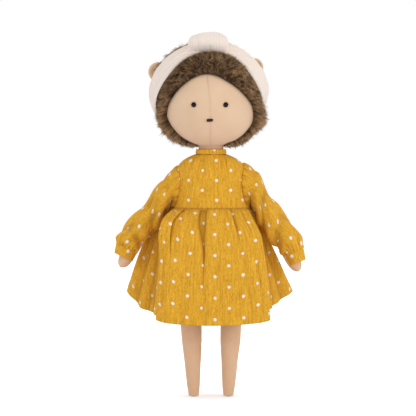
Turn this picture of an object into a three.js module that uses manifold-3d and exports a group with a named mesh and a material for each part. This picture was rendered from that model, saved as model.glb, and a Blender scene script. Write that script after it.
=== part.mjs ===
// A stuffed hedgehog doll in a cotton dress: sewn skins over stuffing, a pile-fabric head back,
// bead eyes on stems, and a knotted headband. Millimetres, +Z up, the doll faces -Y, and its left
// side is +X. The origin is on the floor, midway between the soles.
import * as THREE from 'three';
import { mergeVertices } from 'three/addons/utils/BufferGeometryUtils.js';
import Module from 'manifold-3d';

const wasm = await Module();
wasm.setup();

// Cloth and clearances
const GAP = 0.3; // between pieces that touch on the real doll
const SKIN = 0.8; // one sewn layer of skin cotton
const DRESS_CLOTH = 0.8; // double gauze of the dress
const SKIRT_CLOTH = 1; // the same gauze with its gathers
const LIMB_FACETS = 16; // round a limb
const BODY_FACETS = 20; // round the torso and the bodice
const FILL_FACETS = 12; // round the stuffing inside a limb
const SMALL_FACETS = 14; // round beads and washers
const AWAY = 200; // past the doll on every side, for cutting blocks

// Legs
const LEG_LENGTH = 112; // sole to the sewn top
const THIGH_RADIUS = 9.8;
const FOOT_RADIUS = 4.7;
const SOLE_CUT = 0.5; // depth of the flat that the foot stands on
const LEG_SPREAD_TOP = 18.3; // leg centre line from the middle, at the hip
const LEG_SPREAD_SOLE = 14.2; // and at the floor

// Hip strip, the flat seam that both legs hang from
const STRIP_WIDTH = 48;
const STRIP_THICKNESS = 2.2;
const STRIP_DROP = 5; // between its two fold lines

// Torso
const TORSO_HEIGHT = 77.7;
const TORSO_HALF_WIDTH = 28.6;
const TORSO_HALF_DEPTH = 18.3;

// Neck
const NECK_RADIUS = 10;
const NECK_BALL_RADIUS = 10.9;
const NECK_LENGTH = 13; // fold centre to the sewn top
const NECK_FOLD_RISE = 1.5; // fold centre above the torso's top
const NECK_MOUTH_RADIUS = 4; // opening that the stuffing goes in by

// Head
const HEAD_HALF_WIDTH = 41;
const HEAD_HALF_DEPTH = 39;
const HEAD_HALF_HEIGHT = 41.2;
const HEAD_FULLNESS = 2.15; // exponent of the outline; 2 is a plain oval
const HEAD_FACETS = 24;
const HEAD_RINGS = 13;
const HEAD_SINK = 5.7; // how far the neck reaches into the head
const PILE_HALF_WIDTH = 47.5; // outline of the pile, half pressed down
const PILE_HALF_DEPTH = 43;
const PILE_SETBACK = 2.5; // pile outline behind the head's centre
const PILE_LIFT = 0.3; // and above it
const PILE_NECK_RADIUS = 14.5; // opening in the pile round the neck
const FACE_HALF_WIDTH = 35.8;
const FACE_HEIGHT = 60.5;
const CHIN_HALF_WIDTH = 13;

// Face details
const EYE_SPACING = 26;
const EYE_RISE = 34.3; // above the chin
const EYE_RADIUS = 2.2;
const EYE_HEIGHT = 1.7;
const STEM_RADIUS = 0.8;
const STEM_LENGTH = 5;
const WASHER_RADIUS = 4;
const WASHER_THICKNESS = 0.9;
const NOSE_WIDTH = 5.3;
const NOSE_HEIGHT = 2.5;
const NOSE_THICKNESS = 1;
const NOSE_RISE = 21.8;

// Ears
const EAR_HALF_WIDTH = 9;
const EAR_HALF_THICKNESS = 3;
const EAR_HALF_HEIGHT = 8.5;
const EAR_OFFSET = 44.5; // ear centre from the middle
const EAR_SETBACK = 14;
const EAR_RISE = 19; // ear centre above the head's centre

// Headband
const BAND_TILT = 25; // degrees, its top leans to the front
const BAND_THICKNESS = 2.5;
const BAND_HALF_WIDTH = 11;
const BAND_KNOT_HALF_WIDTH = 8; // gathered where it runs into the knot
const BAND_NAPE_HALF_WIDTH = 5;
const KNOT_HALF_WIDTH = 17;
const KNOT_HALF_HEIGHT = 9.5;
const KNOT_HALF_DEPTH = 11;
const KNOT_RISE = 1.7; // knot centre above the band
const KNOT_SHIFT = -2.5; // knot centre from the middle
const KNOT_FULLNESS = 2.6;

// Arms
const SHOULDER_X = 33.2;
const SHOULDER_DROP = 21; // shoulder centre below the torso's top
const SHOULDER_GAP = 0.6; // between the sleeve's ball and its socket
const ARM_LEAN = 30.5; // degrees out from straight down
const ARM_LENGTH = 82.5; // shoulder centre to hand tip
const ARM_RADIUS = 7;
const HAND_RADIUS = 5.7;
const ARM_MOUTH_RADIUS = 2.5;

// Sleeves and cuffs
const SLEEVE_BALL_RADIUS = 10;
const SLEEVE_LENGTH = 66;
const SLEEVE_RADIUS = 10.4;
const SLEEVE_GATHER_RADIUS = 8.2;
const CUFF_LENGTH = 8.3;
const CUFF_RADIUS = 7.5;
const CUFF_THICKNESS = 1;

// Bodice and collar
const BODICE_HEIGHT = 43.6;
const BODICE_LIFT = 0.4; // its top above the fold of the neck
const WAIST_HALF_WIDTH = 31.2;
const WAIST_HALF_DEPTH = 20.8;
const COLLAR_HEIGHT = 3.7;
const COLLAR_RADIUS = 12.4;
const COLLAR_THICKNESS = 1;

// Back closing of the dress
const PLACKET_WIDTH = 9;
const PLACKET_THICKNESS = 0.8;
const PLACKET_LENGTH = 34;
const PLACKET_DROP = 2; // its top below the bodice's top
const BUTTON_RADIUS = 3;
const BUTTON_THICKNESS = 1.4;
const BUTTON_PITCH = 15;
const BUTTON_FIRST_DROP = 9; // upper button below the bodice's top

// Skirt
const SKIRT_DEPTH = 47; // middle of the hem from the middle of the doll, front and back
const SKIRT_WING_REACH = 67.5; // side folds of the hem
const SKIRT_DROP = 96.5; // waist to the hem's middle in front
const SKIRT_BACK_DROP = 90; // and at the back
const SKIRT_GATHERS = 11;
const SKIRT_GATHER_DEPTH = 1.1;
const SKIRT_STEPS = 8;
const HEM_STEPS = 3; // facets between two neighbouring hem points

// Heights that follow from the sizes above
const LEG_FOLD_Z = LEG_LENGTH + GAP + STRIP_THICKNESS / 2;
const HIP_FOLD_Z = LEG_FOLD_Z + STRIP_DROP;
const TORSO_Z = HIP_FOLD_Z + STRIP_THICKNESS / 2 + GAP;
const TORSO_TOP_Z = TORSO_Z + TORSO_HEIGHT;
const NECK_FOLD_Z = TORSO_TOP_Z + NECK_FOLD_RISE;
const NECK_TOP_Z = NECK_FOLD_Z + NECK_LENGTH;
const CHIN_Z = NECK_TOP_Z - HEAD_SINK - GAP;
const HEAD_Z = CHIN_Z + HEAD_HALF_HEIGHT;
const BODICE_TOP_Z = NECK_FOLD_Z + BODICE_LIFT;
const WAIST_Z = BODICE_TOP_Z - BODICE_HEIGHT;
const SHOULDER_Z = TORSO_TOP_Z - SHOULDER_DROP;
const PILE_HALF_HEIGHT = PILE_HALF_DEPTH; // round from the side, so that the band can slide off it
const PILE_Z = HEAD_Z + PILE_LIFT;

// Turns a closed geometry into a solid, with its faces pointing out.
function solid(geometry) {
  const bare = geometry.index ? geometry.toNonIndexed() : geometry.clone();
  bare.deleteAttribute('normal');
  bare.deleteAttribute('uv');
  const merged = mergeVertices(bare, 1e-4);
  const corners = merged.index.array;
  const kept = [];
  for (let i = 0; i < corners.length; i += 3) {
    const [a, b, c] = [corners[i], corners[i + 1], corners[i + 2]];
    if (a !== b && b !== c && c !== a) kept.push(a, b, c);
  }
  const vertProperties = new Float32Array(merged.attributes.position.array);
  const bodyOf = (triVerts) => new wasm.Manifold(new wasm.Mesh({ numProp: 3, vertProperties, triVerts }));
  const made = bodyOf(new Uint32Array(kept));
  if (made.volume() > 0) return made;
  for (let i = 0; i < kept.length; i += 3) [kept[i + 1], kept[i + 2]] = [kept[i + 2], kept[i + 1]];
  return bodyOf(new Uint32Array(kept));
}

// Turns a solid back into a geometry.
function geometryOf(body) {
  const mesh = body.getMesh();
  const points = new Float32Array(mesh.numVert * 3);
  for (let i = 0; i < mesh.numVert; i += 1) {
    for (let k = 0; k < 3; k += 1) points[i * 3 + k] = mesh.vertProperties[i * mesh.numProp + k];
  }
  const geometry = new THREE.BufferGeometry();
  geometry.setAttribute('position', new THREE.BufferAttribute(points, 3));
  geometry.setIndex(Array.from(mesh.triVerts));
  return geometry;
}

// Reads a smooth curve through a few [place, value, value...] rows at one place.
function along(rows, place) {
  const last = rows.length - 1;
  if (place <= rows[0][0]) return rows[0].slice(1);
  if (place >= rows[last][0]) return rows[last].slice(1);
  let i = 0;
  while (rows[i + 1][0] < place) i += 1;
  const slope = (a, b, k) => (rows[b][k] - rows[a][k]) / (rows[b][0] - rows[a][0]);
  const span = rows[i + 1][0] - rows[i][0];
  const s = (place - rows[i][0]) / span;
  return rows[i].slice(1).map((value, n) => {
    const k = n + 1;
    const from = slope(Math.max(i - 1, 0), i + 1, k) * span;
    const to = slope(i, Math.min(i + 2, last), k) * span;
    const ease = s * s * (3 - 2 * s);
    return value + (rows[i + 1][k] - value) * ease + from * s * (1 - s) ** 2 - to * s * s * (1 - s);
  });
}

// A closed stack of oval rings. Rows are [height, half width, half depth].
function ovalStack(rows, steps = 10, round = BODY_FACETS) {
  const [low, high] = [rows[0][0], rows[rows.length - 1][0]];
  const points = [];
  for (let j = 0; j <= steps; j += 1) {
    const z = low + ((high - low) * j) / steps;
    const [w, d] = along(rows, z);
    for (let i = 0; i < round; i += 1) {
      const turn = (2 * Math.PI * i) / round;
      points.push([w * Math.cos(turn), d * Math.sin(turn), z]);
    }
  }
  const faces = [];
  for (let j = 0; j < steps; j += 1) {
    for (let i = 0; i < round; i += 1) {
      const next = (i + 1) % round;
      const [a, b] = [j * round + i, j * round + next];
      faces.push([a, b, b + round], [a, b + round, a + round]);
    }
  }
  const top = steps * round;
  for (let i = 1; i < round - 1; i += 1) faces.push([0, i + 1, i], [top, top + i, top + i + 1]);
  const geometry = new THREE.BufferGeometry();
  geometry.setAttribute('position', new THREE.Float32BufferAttribute(points.flat(), 3));
  geometry.setIndex(faces.flat());
  return solid(geometry);
}

// Two sheets of points, joined along both rims. Each is a function of round and up, 0 to 1.
function twoSheets(outer, inner, round, steps) {
  const points = [];
  for (const sheet of [outer, inner]) {
    for (let j = 0; j <= steps; j += 1) {
      for (let i = 0; i < round; i += 1) points.push(sheet(i / round, j / steps));
    }
  }
  const faces = [];
  const inside = (steps + 1) * round;
  const quad = (a, b, c, d) => faces.push([a, b, c], [a, c, d]);
  for (let i = 0; i < round; i += 1) {
    const next = (i + 1) % round;
    for (let j = 0; j < steps; j += 1) {
      const [a, b] = [j * round + i, j * round + next];
      quad(a, b, b + round, a + round);
      quad(inside + b, inside + a, inside + a + round, inside + b + round);
    }
    const rim = steps * round;
    quad(inside + i, inside + next, next, i);
    quad(rim + i, rim + next, inside + rim + next, inside + rim + i);
  }
  const geometry = new THREE.BufferGeometry();
  geometry.setAttribute('position', new THREE.Float32BufferAttribute(points.flat(), 3));
  geometry.setIndex(faces.flat());
  return solid(geometry);
}

// A body turned round the Z axis. Rows are [radius, height].
function turned(rows, round = LIMB_FACETS) {
  const profile = rows.map(([r, z]) => new THREE.Vector2(r, z));
  return solid(new THREE.LatheGeometry(profile, round).rotateX(Math.PI / 2));
}

function ball(radius, x, y, z, detail = BODY_FACETS) {
  const round = new THREE.SphereGeometry(radius, detail, detail / 2);
  return solid(round.rotateX(Math.PI / 2).translate(x, y, z));
}

function block(x0, x1, y0, y1, z0, z1) {
  const box = new THREE.BoxGeometry(x1 - x0, y1 - y0, z1 - z0);
  return solid(box.translate((x0 + x1) / 2, (y0 + y1) / 2, (z0 + z1) / 2));
}

function post(radius, z0, z1) {
  return turned([[0, z0], [radius, z0], [radius, z1], [0, z1]]);
}

// Shrinks or grows the rows of an oval stack, and moves its ends by the same amount.
function grown(rows, by, endsBy = by) {
  const last = rows.length - 1;
  return rows.map(([z, w, d], i) => {
    const lift = (i === last ? endsBy : 0) - (i === 0 ? endsBy : 0);
    return [z + lift, w + by, d + by];
  });
}

const root = new THREE.Group();

function group(parent = root) {
  const made = new THREE.Group();
  parent.add(made);
  return made;
}

function add(parent, name, body, material) {
  const mesh = new THREE.Mesh(geometryOf(body), material);
  mesh.name = name;
  parent.add(mesh);
}

const finish = (color, roughness) => new THREE.MeshStandardMaterial({ color, roughness, metalness: 0 });
const faceCotton = finish(0xddbb98, 0.9);
const limbJersey = finish(0xcfa683, 0.9);
const bodyCotton = finish(0xe3cdb4, 0.9);
const stuffing = finish(0xf2efe9, 1);
const pile = finish(0x6b5338, 1);
const earCloth = finish(0xc7a07a, 0.95);
const gauze = finish(0xd9a32b, 0.95);
const bandJersey = finish(0xefe6de, 0.95);
const beadBlack = finish(0x0b0b0d, 0.12);
const washerWhite = finish(0xe8e6e0, 0.5);
const noseThread = finish(0x3f2229, 0.6);
const buttonShell = finish(0xf0e6d2, 0.35);

const torso = group();

// Torso: a pillow that narrows to its hip seam, with a socket for the neck and each arm.
const torsoRows = [
  [0, 0.735, 0.087],
  [0.04, 0.81, 0.24],
  [0.1, 0.89, 0.46],
  [0.19, 0.955, 0.71],
  [0.31, 0.99, 0.896],
  [0.46, 1, 1],
  [0.59, 0.979, 0.984],
  [0.72, 0.944, 0.896],
  [0.82, 0.874, 0.798],
  [0.9, 0.75, 0.72],
  [0.955, 0.6, 0.7],
  [1, 0.472, 0.667],
].map(([up, w, d]) => [TORSO_Z + up * TORSO_HEIGHT, w * TORSO_HALF_WIDTH, d * TORSO_HALF_DEPTH]);
const neckSocket = ball(NECK_BALL_RADIUS + GAP, 0, 0, NECK_FOLD_Z);
const armSockets = [1, -1]
  .map((side) => ball(SLEEVE_BALL_RADIUS + SHOULDER_GAP, side * SHOULDER_X, 0, SHOULDER_Z))
  .reduce((a, b) => a.add(b));
const torsoInside = ovalStack(
  grown(torsoRows, -SKIN).map(([z, w, d], i) => [i ? z : TORSO_Z + SKIN, w, Math.max(d, SKIN / 4)]),
).add(post(NECK_RADIUS, NECK_FOLD_Z - NECK_BALL_RADIUS, TORSO_TOP_Z + 1));
const sockets = neckSocket.add(armSockets);
const torsoSkin = ovalStack(torsoRows).subtract(torsoInside).subtract(sockets);
const torsoFillRows = grown(torsoRows.slice(1), -SKIN - 2 * GAP);
const torsoFill = ovalStack(torsoFillRows, 8, LIMB_FACETS).subtract(sockets);
add(torso, 'torso_skin', torsoSkin, bodyCotton);
add(torso, 'torso_stuffing', torsoFill, stuffing);

// Bodice: two gauze panels over the torso, open at the waist, neck and armholes.
const bodiceRows = [
  [0, 1, 1],
  [0.14, 0.96, 0.971],
  [0.32, 0.942, 0.942],
  [0.5, 0.929, 0.894],
  [0.67, 0.875, 0.827],
  [0.8, 0.769, 0.755],
  [0.9, 0.609, 0.697],
  [1, 0.42, 0.606],
].map(([up, w, d]) => [WAIST_Z + up * BODICE_HEIGHT, w * WAIST_HALF_WIDTH, d * WAIST_HALF_DEPTH]);
const bodiceOutside = ovalStack(bodiceRows);
const bodice = bodiceOutside
  .subtract(ovalStack(grown(bodiceRows, -DRESS_CLOTH, 1)))
  .subtract(armSockets);
add(torso, 'dress_bodice', bodice, gauze);

// Collar: a bound band that stands on the bodice's neckline.
const collarZ = BODICE_TOP_Z + GAP;
const collarInner = COLLAR_RADIUS - COLLAR_THICKNESS;
const collar = turned([
  [collarInner, collarZ],
  [COLLAR_RADIUS, collarZ],
  [COLLAR_RADIUS, collarZ + COLLAR_HEIGHT],
  [collarInner, collarZ + COLLAR_HEIGHT],
  [collarInner, collarZ],
]);
add(torso, 'dress_collar', collar, gauze);

// Back closing: a placket over the bodice's middle back, with two buttons sewn through it.
const placketInner = ovalStack(grown(bodiceRows, GAP, 0));
const placketOuter = ovalStack(grown(bodiceRows, GAP + PLACKET_THICKNESS, 0));
const placketTop = BODICE_TOP_Z - PLACKET_DROP;
const placketBlock = block(
  -PLACKET_WIDTH / 2,
  PLACKET_WIDTH / 2,
  0,
  2 * WAIST_HALF_DEPTH,
  placketTop - PLACKET_LENGTH,
  placketTop,
);
add(torso, 'dress_back_placket', placketOuter.subtract(placketInner).intersect(placketBlock), gauze);
['dress_button_upper', 'dress_button_lower'].forEach((name, n) => {
  const z = BODICE_TOP_Z - BUTTON_FIRST_DROP - n * BUTTON_PITCH;
  const depthAt = (height) => along(bodiceRows, height)[1];
  const lean = Math.atan2(depthAt(z - 1) - depthAt(z + 1), 2);
  const stand = depthAt(z) + 2 * GAP + PLACKET_THICKNESS + BUTTON_RADIUS ** 2 / (4 * WAIST_HALF_DEPTH);
  const disc = post(BUTTON_RADIUS, 0, BUTTON_THICKNESS).rotate([-90 + (lean * 180) / Math.PI, 0, 0]);
  add(torso, name, disc.translate([0, stand, z]), buttonShell);
});

// Skirt: gathered to the waist, with a flat front, a fold edge on each side of it, and wings.
const hemSide = [
  [0.267, -0.957, 0.997],
  [0.519, -0.947, 0.984],
  [0.681, -0.787, 0.962],
  [0.622, -0.468, 0.927],
  [0.667, -0.17, 0.891],
  [0.8, 0.202, 0.808],
  [1, 0.468, 0.715],
  [0.83, 0.787, 0.798],
  [0.563, 0.926, 0.881],
  [0.281, 0.968, 0.917],
].map(([x, y, drop]) => {
  return new THREE.Vector3(x * SKIRT_WING_REACH, y * SKIRT_DEPTH, WAIST_Z - drop * SKIRT_DROP);
});
const hemMirror = hemSide.map((p) => new THREE.Vector3(-p.x, p.y, p.z)).reverse();
const hemFront = new THREE.Vector3(0, -SKIRT_DEPTH, WAIST_Z - SKIRT_DROP);
const hemBack = new THREE.Vector3(0, SKIRT_DEPTH, WAIST_Z - SKIRT_BACK_DROP);
const hem = new THREE.CatmullRomCurve3([hemFront, ...hemSide, hemBack, ...hemMirror], true);
function skirtPoint(round, up, inset) {
  const down = 1 - up;
  const turn = 2 * Math.PI * round;
  const edge = hem.getPoint(round);
  const flare = Math.sqrt(down);
  const pleat = SKIRT_GATHER_DEPTH * Math.cos(SKIRT_GATHERS * turn) * 4 * down * (1 - down);
  const x = WAIST_HALF_WIDTH * Math.sin(turn) * (1 - flare) + edge.x * flare;
  const y = -WAIST_HALF_DEPTH * Math.cos(turn) * (1 - flare) + edge.y * flare;
  const reach = Math.hypot(x, y);
  const scale = (reach + pleat - inset) / reach;
  const top = WAIST_Z - GAP;
  return [x * scale, y * scale, top + (edge.z - top) * down];
}
const hemCount = 2 * hemSide.length + 2;
const skirt = twoSheets(
  (round, up) => skirtPoint(round, up, 0),
  (round, up) => skirtPoint(round, up, SKIRT_CLOTH),
  hemCount * HEM_STEPS,
  SKIRT_STEPS,
);
add(torso, 'dress_skirt', skirt, gauze);

// Neck: a ball in the torso's socket, drawn up into a tube that ends inside the head.
const neck = group();
function neckProfile(inset, mouth) {
  const r = NECK_BALL_RADIUS - inset;
  const tube = NECK_RADIUS - inset;
  const rows = [];
  const first = Math.asin(Math.min(mouth / r, 1)) - Math.PI;
  const last = -Math.asin(tube / r);
  for (let i = 0; i <= 5; i += 1) {
    const turn = first + ((last - first) * i) / 5;
    rows.push([-r * Math.sin(turn), NECK_FOLD_Z + r * Math.cos(turn)]);
  }
  return rows;
}
const neckSkin = turned([
  ...neckProfile(0, NECK_MOUTH_RADIUS),
  [NECK_RADIUS, NECK_TOP_Z],
  [NECK_RADIUS - SKIN, NECK_TOP_Z],
  ...neckProfile(SKIN, NECK_MOUTH_RADIUS).reverse(),
  neckProfile(0, NECK_MOUTH_RADIUS)[0],
]);
const neckFill = turned([
  ...neckProfile(SKIN + GAP, 0),
  [NECK_RADIUS - SKIN - GAP, NECK_TOP_Z],
  [0, NECK_TOP_Z],
]);
add(neck, 'neck_skin', neckSkin, faceCotton);
add(neck, 'neck_stuffing', neckFill, stuffing);

// Head: a stuffed egg. Its outline turns round Z and is then pressed to the head's depth.
const head = group(neck);
const depthShare = HEAD_HALF_DEPTH / HEAD_HALF_WIDTH;
function headRadius(z, inset = 0) {
  const rise = Math.min(Math.abs(z - HEAD_Z) / (HEAD_HALF_HEIGHT - inset), 1);
  return (HEAD_HALF_WIDTH - inset) * (1 - rise ** HEAD_FULLNESS) ** (1 / HEAD_FULLNESS);
}
function headSolid(inset) {
  const rows = [];
  for (let i = 0; i <= HEAD_RINGS; i += 1) {
    const up = -Math.cos((Math.PI * i) / HEAD_RINGS);
    const z = HEAD_Z + (HEAD_HALF_HEIGHT - inset) * up;
    rows.push([i % HEAD_RINGS ? headRadius(z, inset) : 0, z]);
  }
  return turned(rows, HEAD_FACETS).scale([1, depthShare, 1]);
}
function facePoint(x, z) {
  const r = headRadius(z);
  return new THREE.Vector3(x, -depthShare * Math.sqrt(r * r - x * x), z);
}
function faceNormal(x, z) {
  const d = 0.5;
  const across = facePoint(x + d, z).sub(facePoint(x - d, z));
  const up = facePoint(x, z + d).sub(facePoint(x, z - d));
  return across.cross(up).normalize();
}

// Face outline seen from the front: an egg, wide at the cheeks, that runs down to the neck.
function facePrism(outset) {
  const side = [
    [0, 1],
    [0.22, 0.967],
    [0.514, 0.87],
    [0.774, 0.732],
    [0.919, 0.605],
    [1, 0.43],
    [0.966, 0.289],
    [0.852, 0.177],
    [0.642, 0.083],
  ].map(([x, up]) => [x * FACE_HALF_WIDTH, CHIN_Z + up * FACE_HEIGHT]);
  side.push([CHIN_HALF_WIDTH, CHIN_Z - 2], [CHIN_HALF_WIDTH, CHIN_Z - 6]);
  const left = side.map(([x, z]) => new THREE.Vector2(x + (x ? outset : 0), z + (x ? 0 : outset)));
  const right = left.slice(1).map((p) => new THREE.Vector2(-p.x, p.y)).reverse();
  const outline = new THREE.Shape([...left, ...right]);
  const depth = HEAD_HALF_DEPTH + PILE_HALF_DEPTH;
  const prism = new THREE.ExtrudeGeometry(outline, { depth, bevelEnabled: false });
  return solid(prism.rotateX(Math.PI / 2));
}
const headInside = headSolid(SKIN);
const neckHole = post(NECK_RADIUS + GAP, CHIN_Z - 10, NECK_TOP_Z + 2);
const stemHole = (radius, depth) => post(radius, -depth, 3);
const eyes = [1, -1].map((side) => {
  const [x, z] = [(side * EYE_SPACING) / 2, CHIN_Z + EYE_RISE];
  const turn = new THREE.Quaternion().setFromUnitVectors(new THREE.Vector3(0, 0, 1), faceNormal(x, z));
  const move = new THREE.Matrix4().compose(facePoint(x, z), turn, new THREE.Vector3(1, 1, 1));
  return { name: side > 0 ? 'left' : 'right', side, put: (body) => body.transform(move.elements) };
});
let faceShell = headSolid(0).subtract(headInside).intersect(facePrism(0)).subtract(neckHole);
const neckRoom = post(NECK_RADIUS + SKIN, CHIN_Z - 10, NECK_TOP_Z + GAP);
let headFill = headSolid(SKIN + GAP).subtract(neckRoom);
const washerTop = SKIN + 3 * GAP;
for (const eye of eyes) {
  faceShell = faceShell.subtract(eye.put(stemHole(STEM_RADIUS + GAP, SKIN + 2)));
  const room = post(WASHER_RADIUS + GAP, -washerTop - WASHER_THICKNESS - GAP, 0);
  headFill = headFill.subtract(eye.put(room.add(stemHole(STEM_RADIUS + GAP, STEM_LENGTH + GAP))));
}
const seam = GAP / 2;
const far = 2 * PILE_HALF_WIDTH;
const sideBlock = (side) => {
  const [x0, x1] = side > 0 ? [seam, far] : [-far, -seam];
  return block(x0, x1, -far, far, CHIN_Z - far, CHIN_Z + 2 * far);
};
const pileSolid = (outset) => {
  const round = new THREE.SphereGeometry(1, 28, 14).rotateX(Math.PI / 2);
  round.scale(PILE_HALF_WIDTH + outset, PILE_HALF_DEPTH + outset, PILE_HALF_HEIGHT + outset);
  return solid(round.translate(0, PILE_SETBACK, PILE_Z));
};
const pileShell = pileSolid(0)
  .subtract(headInside)
  .subtract(facePrism(GAP))
  .subtract(post(PILE_NECK_RADIUS, CHIN_Z - 10, HEAD_Z));
for (const side of [1, -1]) {
  const name = side > 0 ? 'left' : 'right';
  add(head, `face_panel_${name}`, faceShell.intersect(sideBlock(side)), faceCotton);
  add(head, `pile_panel_${name}`, pileShell.intersect(sideBlock(side)), pile);
}
add(head, 'head_stuffing', headFill, stuffing);

// Eyes: glossy beads on stems that pass through the face into a washer behind it.
for (const eye of eyes) {
  const dome = [];
  for (let i = 0; i <= 4; i += 1) {
    const turn = (Math.PI / 2) * (i / 4);
    dome.push([EYE_RADIUS * Math.cos(turn), 2 * GAP + (EYE_HEIGHT - 2 * GAP) * Math.sin(turn)]);
  }
  dome[4][0] = 0;
  const stem = [[0, -STEM_LENGTH], [STEM_RADIUS, -STEM_LENGTH], [STEM_RADIUS, GAP], [EYE_RADIUS, GAP]];
  const bead = turned([...stem, ...dome], SMALL_FACETS);
  const washerIn = STEM_RADIUS + GAP;
  const washer = turned([
    [washerIn, -washerTop - WASHER_THICKNESS],
    [WASHER_RADIUS, -washerTop - WASHER_THICKNESS],
    [WASHER_RADIUS, -washerTop],
    [washerIn, -washerTop],
    [washerIn, -washerTop - WASHER_THICKNESS],
  ], SMALL_FACETS);
  add(head, `eye_${eye.name}`, eye.put(bead), beadBlack);
  add(head, `eye_washer_${eye.name}`, eye.put(washer), washerWhite);
}

// Nose: a satin-stitched patch over the centre seam.
const nosePlace = facePoint(0, CHIN_Z + NOSE_RISE);
const nose = new THREE.SphereGeometry(0.5, SMALL_FACETS, 8).scale(NOSE_WIDTH, NOSE_THICKNESS, NOSE_HEIGHT);
nose.translate(0, nosePlace.y - NOSE_THICKNESS / 2 - GAP, nosePlace.z);
add(head, 'nose_stitch', solid(nose), noseThread);

// Ears: flat round lobes sewn on through the pile, just behind the headband.
for (const side of [1, -1]) {
  const lobe = new THREE.SphereGeometry(1, 18, 10);
  lobe.scale(EAR_HALF_WIDTH, EAR_HALF_THICKNESS, EAR_HALF_HEIGHT);
  lobe.translate(side * EAR_OFFSET, EAR_SETBACK, HEAD_Z + EAR_RISE);
  add(head, `ear_${side > 0 ? 'left' : 'right'}`, solid(lobe).subtract(pileSolid(GAP)), earCloth);
}

// Headband: a ring of jersey round the pile, in a plane that leans forward, with a wrapped knot.
const headband = group(head);
const tilt = (BAND_TILT * Math.PI) / 180;
const bandFrame = new THREE.Matrix4().makeRotationX(tilt).setPosition(0, PILE_SETBACK, PILE_Z);
const bandWidthRows = [
  [-1, BAND_NAPE_HALF_WIDTH],
  [-0.5, (BAND_HALF_WIDTH + BAND_NAPE_HALF_WIDTH) / 2],
  [0.1, BAND_HALF_WIDTH],
  [0.7, BAND_HALF_WIDTH],
  [1, BAND_KNOT_HALF_WIDTH],
];
function bandPoint(round, across, outset, spare = 0) {
  const turn = 2 * Math.PI * round;
  const up = Math.cos(turn);
  const half = along(bandWidthRows, up)[0] + spare;
  const x = (PILE_HALF_WIDTH + outset) * Math.sin(turn);
  const point = new THREE.Vector3(x, (2 * across - 1) * half, (PILE_HALF_HEIGHT + outset) * up);
  return point.applyMatrix4(bandFrame).toArray();
}
function bandSolid(low, high, spare = 0) {
  const sheet = (outset) => (round, across) => bandPoint(round, across, outset, spare);
  return twoSheets(sheet(high), sheet(low), 36, 2);
}
add(headband, 'headband_band', bandSolid(GAP, GAP + BAND_THICKNESS), bandJersey);
const knotShape = new THREE.SphereGeometry(1, 22, 14).rotateX(Math.PI / 2);
const knotPoints = knotShape.attributes.position;
for (let i = 0; i < knotPoints.count; i += 1) {
  const p = new THREE.Vector3().fromBufferAttribute(knotPoints, i);
  const sum = [p.x, p.y, p.z].reduce((total, c) => total + Math.abs(c) ** KNOT_FULLNESS, 0);
  p.multiplyScalar(sum ** (-1 / KNOT_FULLNESS));
  knotPoints.setXYZ(i, p.x * KNOT_HALF_WIDTH, p.y * KNOT_HALF_DEPTH, p.z * KNOT_HALF_HEIGHT);
}
const bandMiddle = PILE_HALF_HEIGHT + GAP + BAND_THICKNESS / 2;
knotShape.translate(KNOT_SHIFT, 0, bandMiddle + KNOT_RISE).applyMatrix4(bandFrame);
const slideRoom = new THREE.CylinderGeometry(1, 1, AWAY, 36).scale(
  PILE_HALF_WIDTH + GAP,
  1,
  PILE_HALF_HEIGHT + GAP,
);
slideRoom.applyMatrix4(bandFrame);
const knot = solid(knotShape)
  .subtract(solid(slideRoom))
  .subtract(bandSolid(0, 2 * GAP + BAND_THICKNESS, GAP));
add(headband, 'headband_knot', knot, bandJersey);

// Arms: modelled hanging straight down from a ball at the shoulder, then leaned outwards.
const BALL_END = 0.7 * Math.PI; // where the ball runs into the limb, from its crown
function ballThenRows(radius, from, rows, inset) {
  const r = radius - inset;
  const start = Math.asin(Math.min(from / r, 1));
  const made = [];
  for (let i = 0; i <= 5; i += 1) {
    const turn = start + ((BALL_END - start) * i) / 5;
    made.push([r * Math.sin(turn), r * Math.cos(turn)]);
  }
  return [...made, ...rows];
}
const sleeveRows = [
  [0.19, SLEEVE_RADIUS * 0.8],
  [0.3, SLEEVE_RADIUS * 0.86],
  [0.45, SLEEVE_RADIUS * 0.94],
  [0.62, SLEEVE_RADIUS],
  [0.8, SLEEVE_RADIUS * 0.99],
  [0.92, (SLEEVE_RADIUS + SLEEVE_GATHER_RADIUS) / 2],
  [1, SLEEVE_GATHER_RADIUS],
];
function limbProfile(rows, length, inset) {
  return rows.map(([share, r]) => [Math.max(r - inset, 0), -share * length]);
}
const armRows = [
  [0.16, ARM_RADIUS * 1.03],
  [0.4, ARM_RADIUS],
  [0.7, ARM_RADIUS * 0.89],
  [0.87, HAND_RADIUS],
  [0.92, HAND_RADIUS * 0.96],
  [0.96, HAND_RADIUS * 0.8],
  [0.985, HAND_RADIUS * 0.5],
  [1, 0],
];
const armBall = SLEEVE_BALL_RADIUS - DRESS_CLOTH - GAP;
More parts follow.
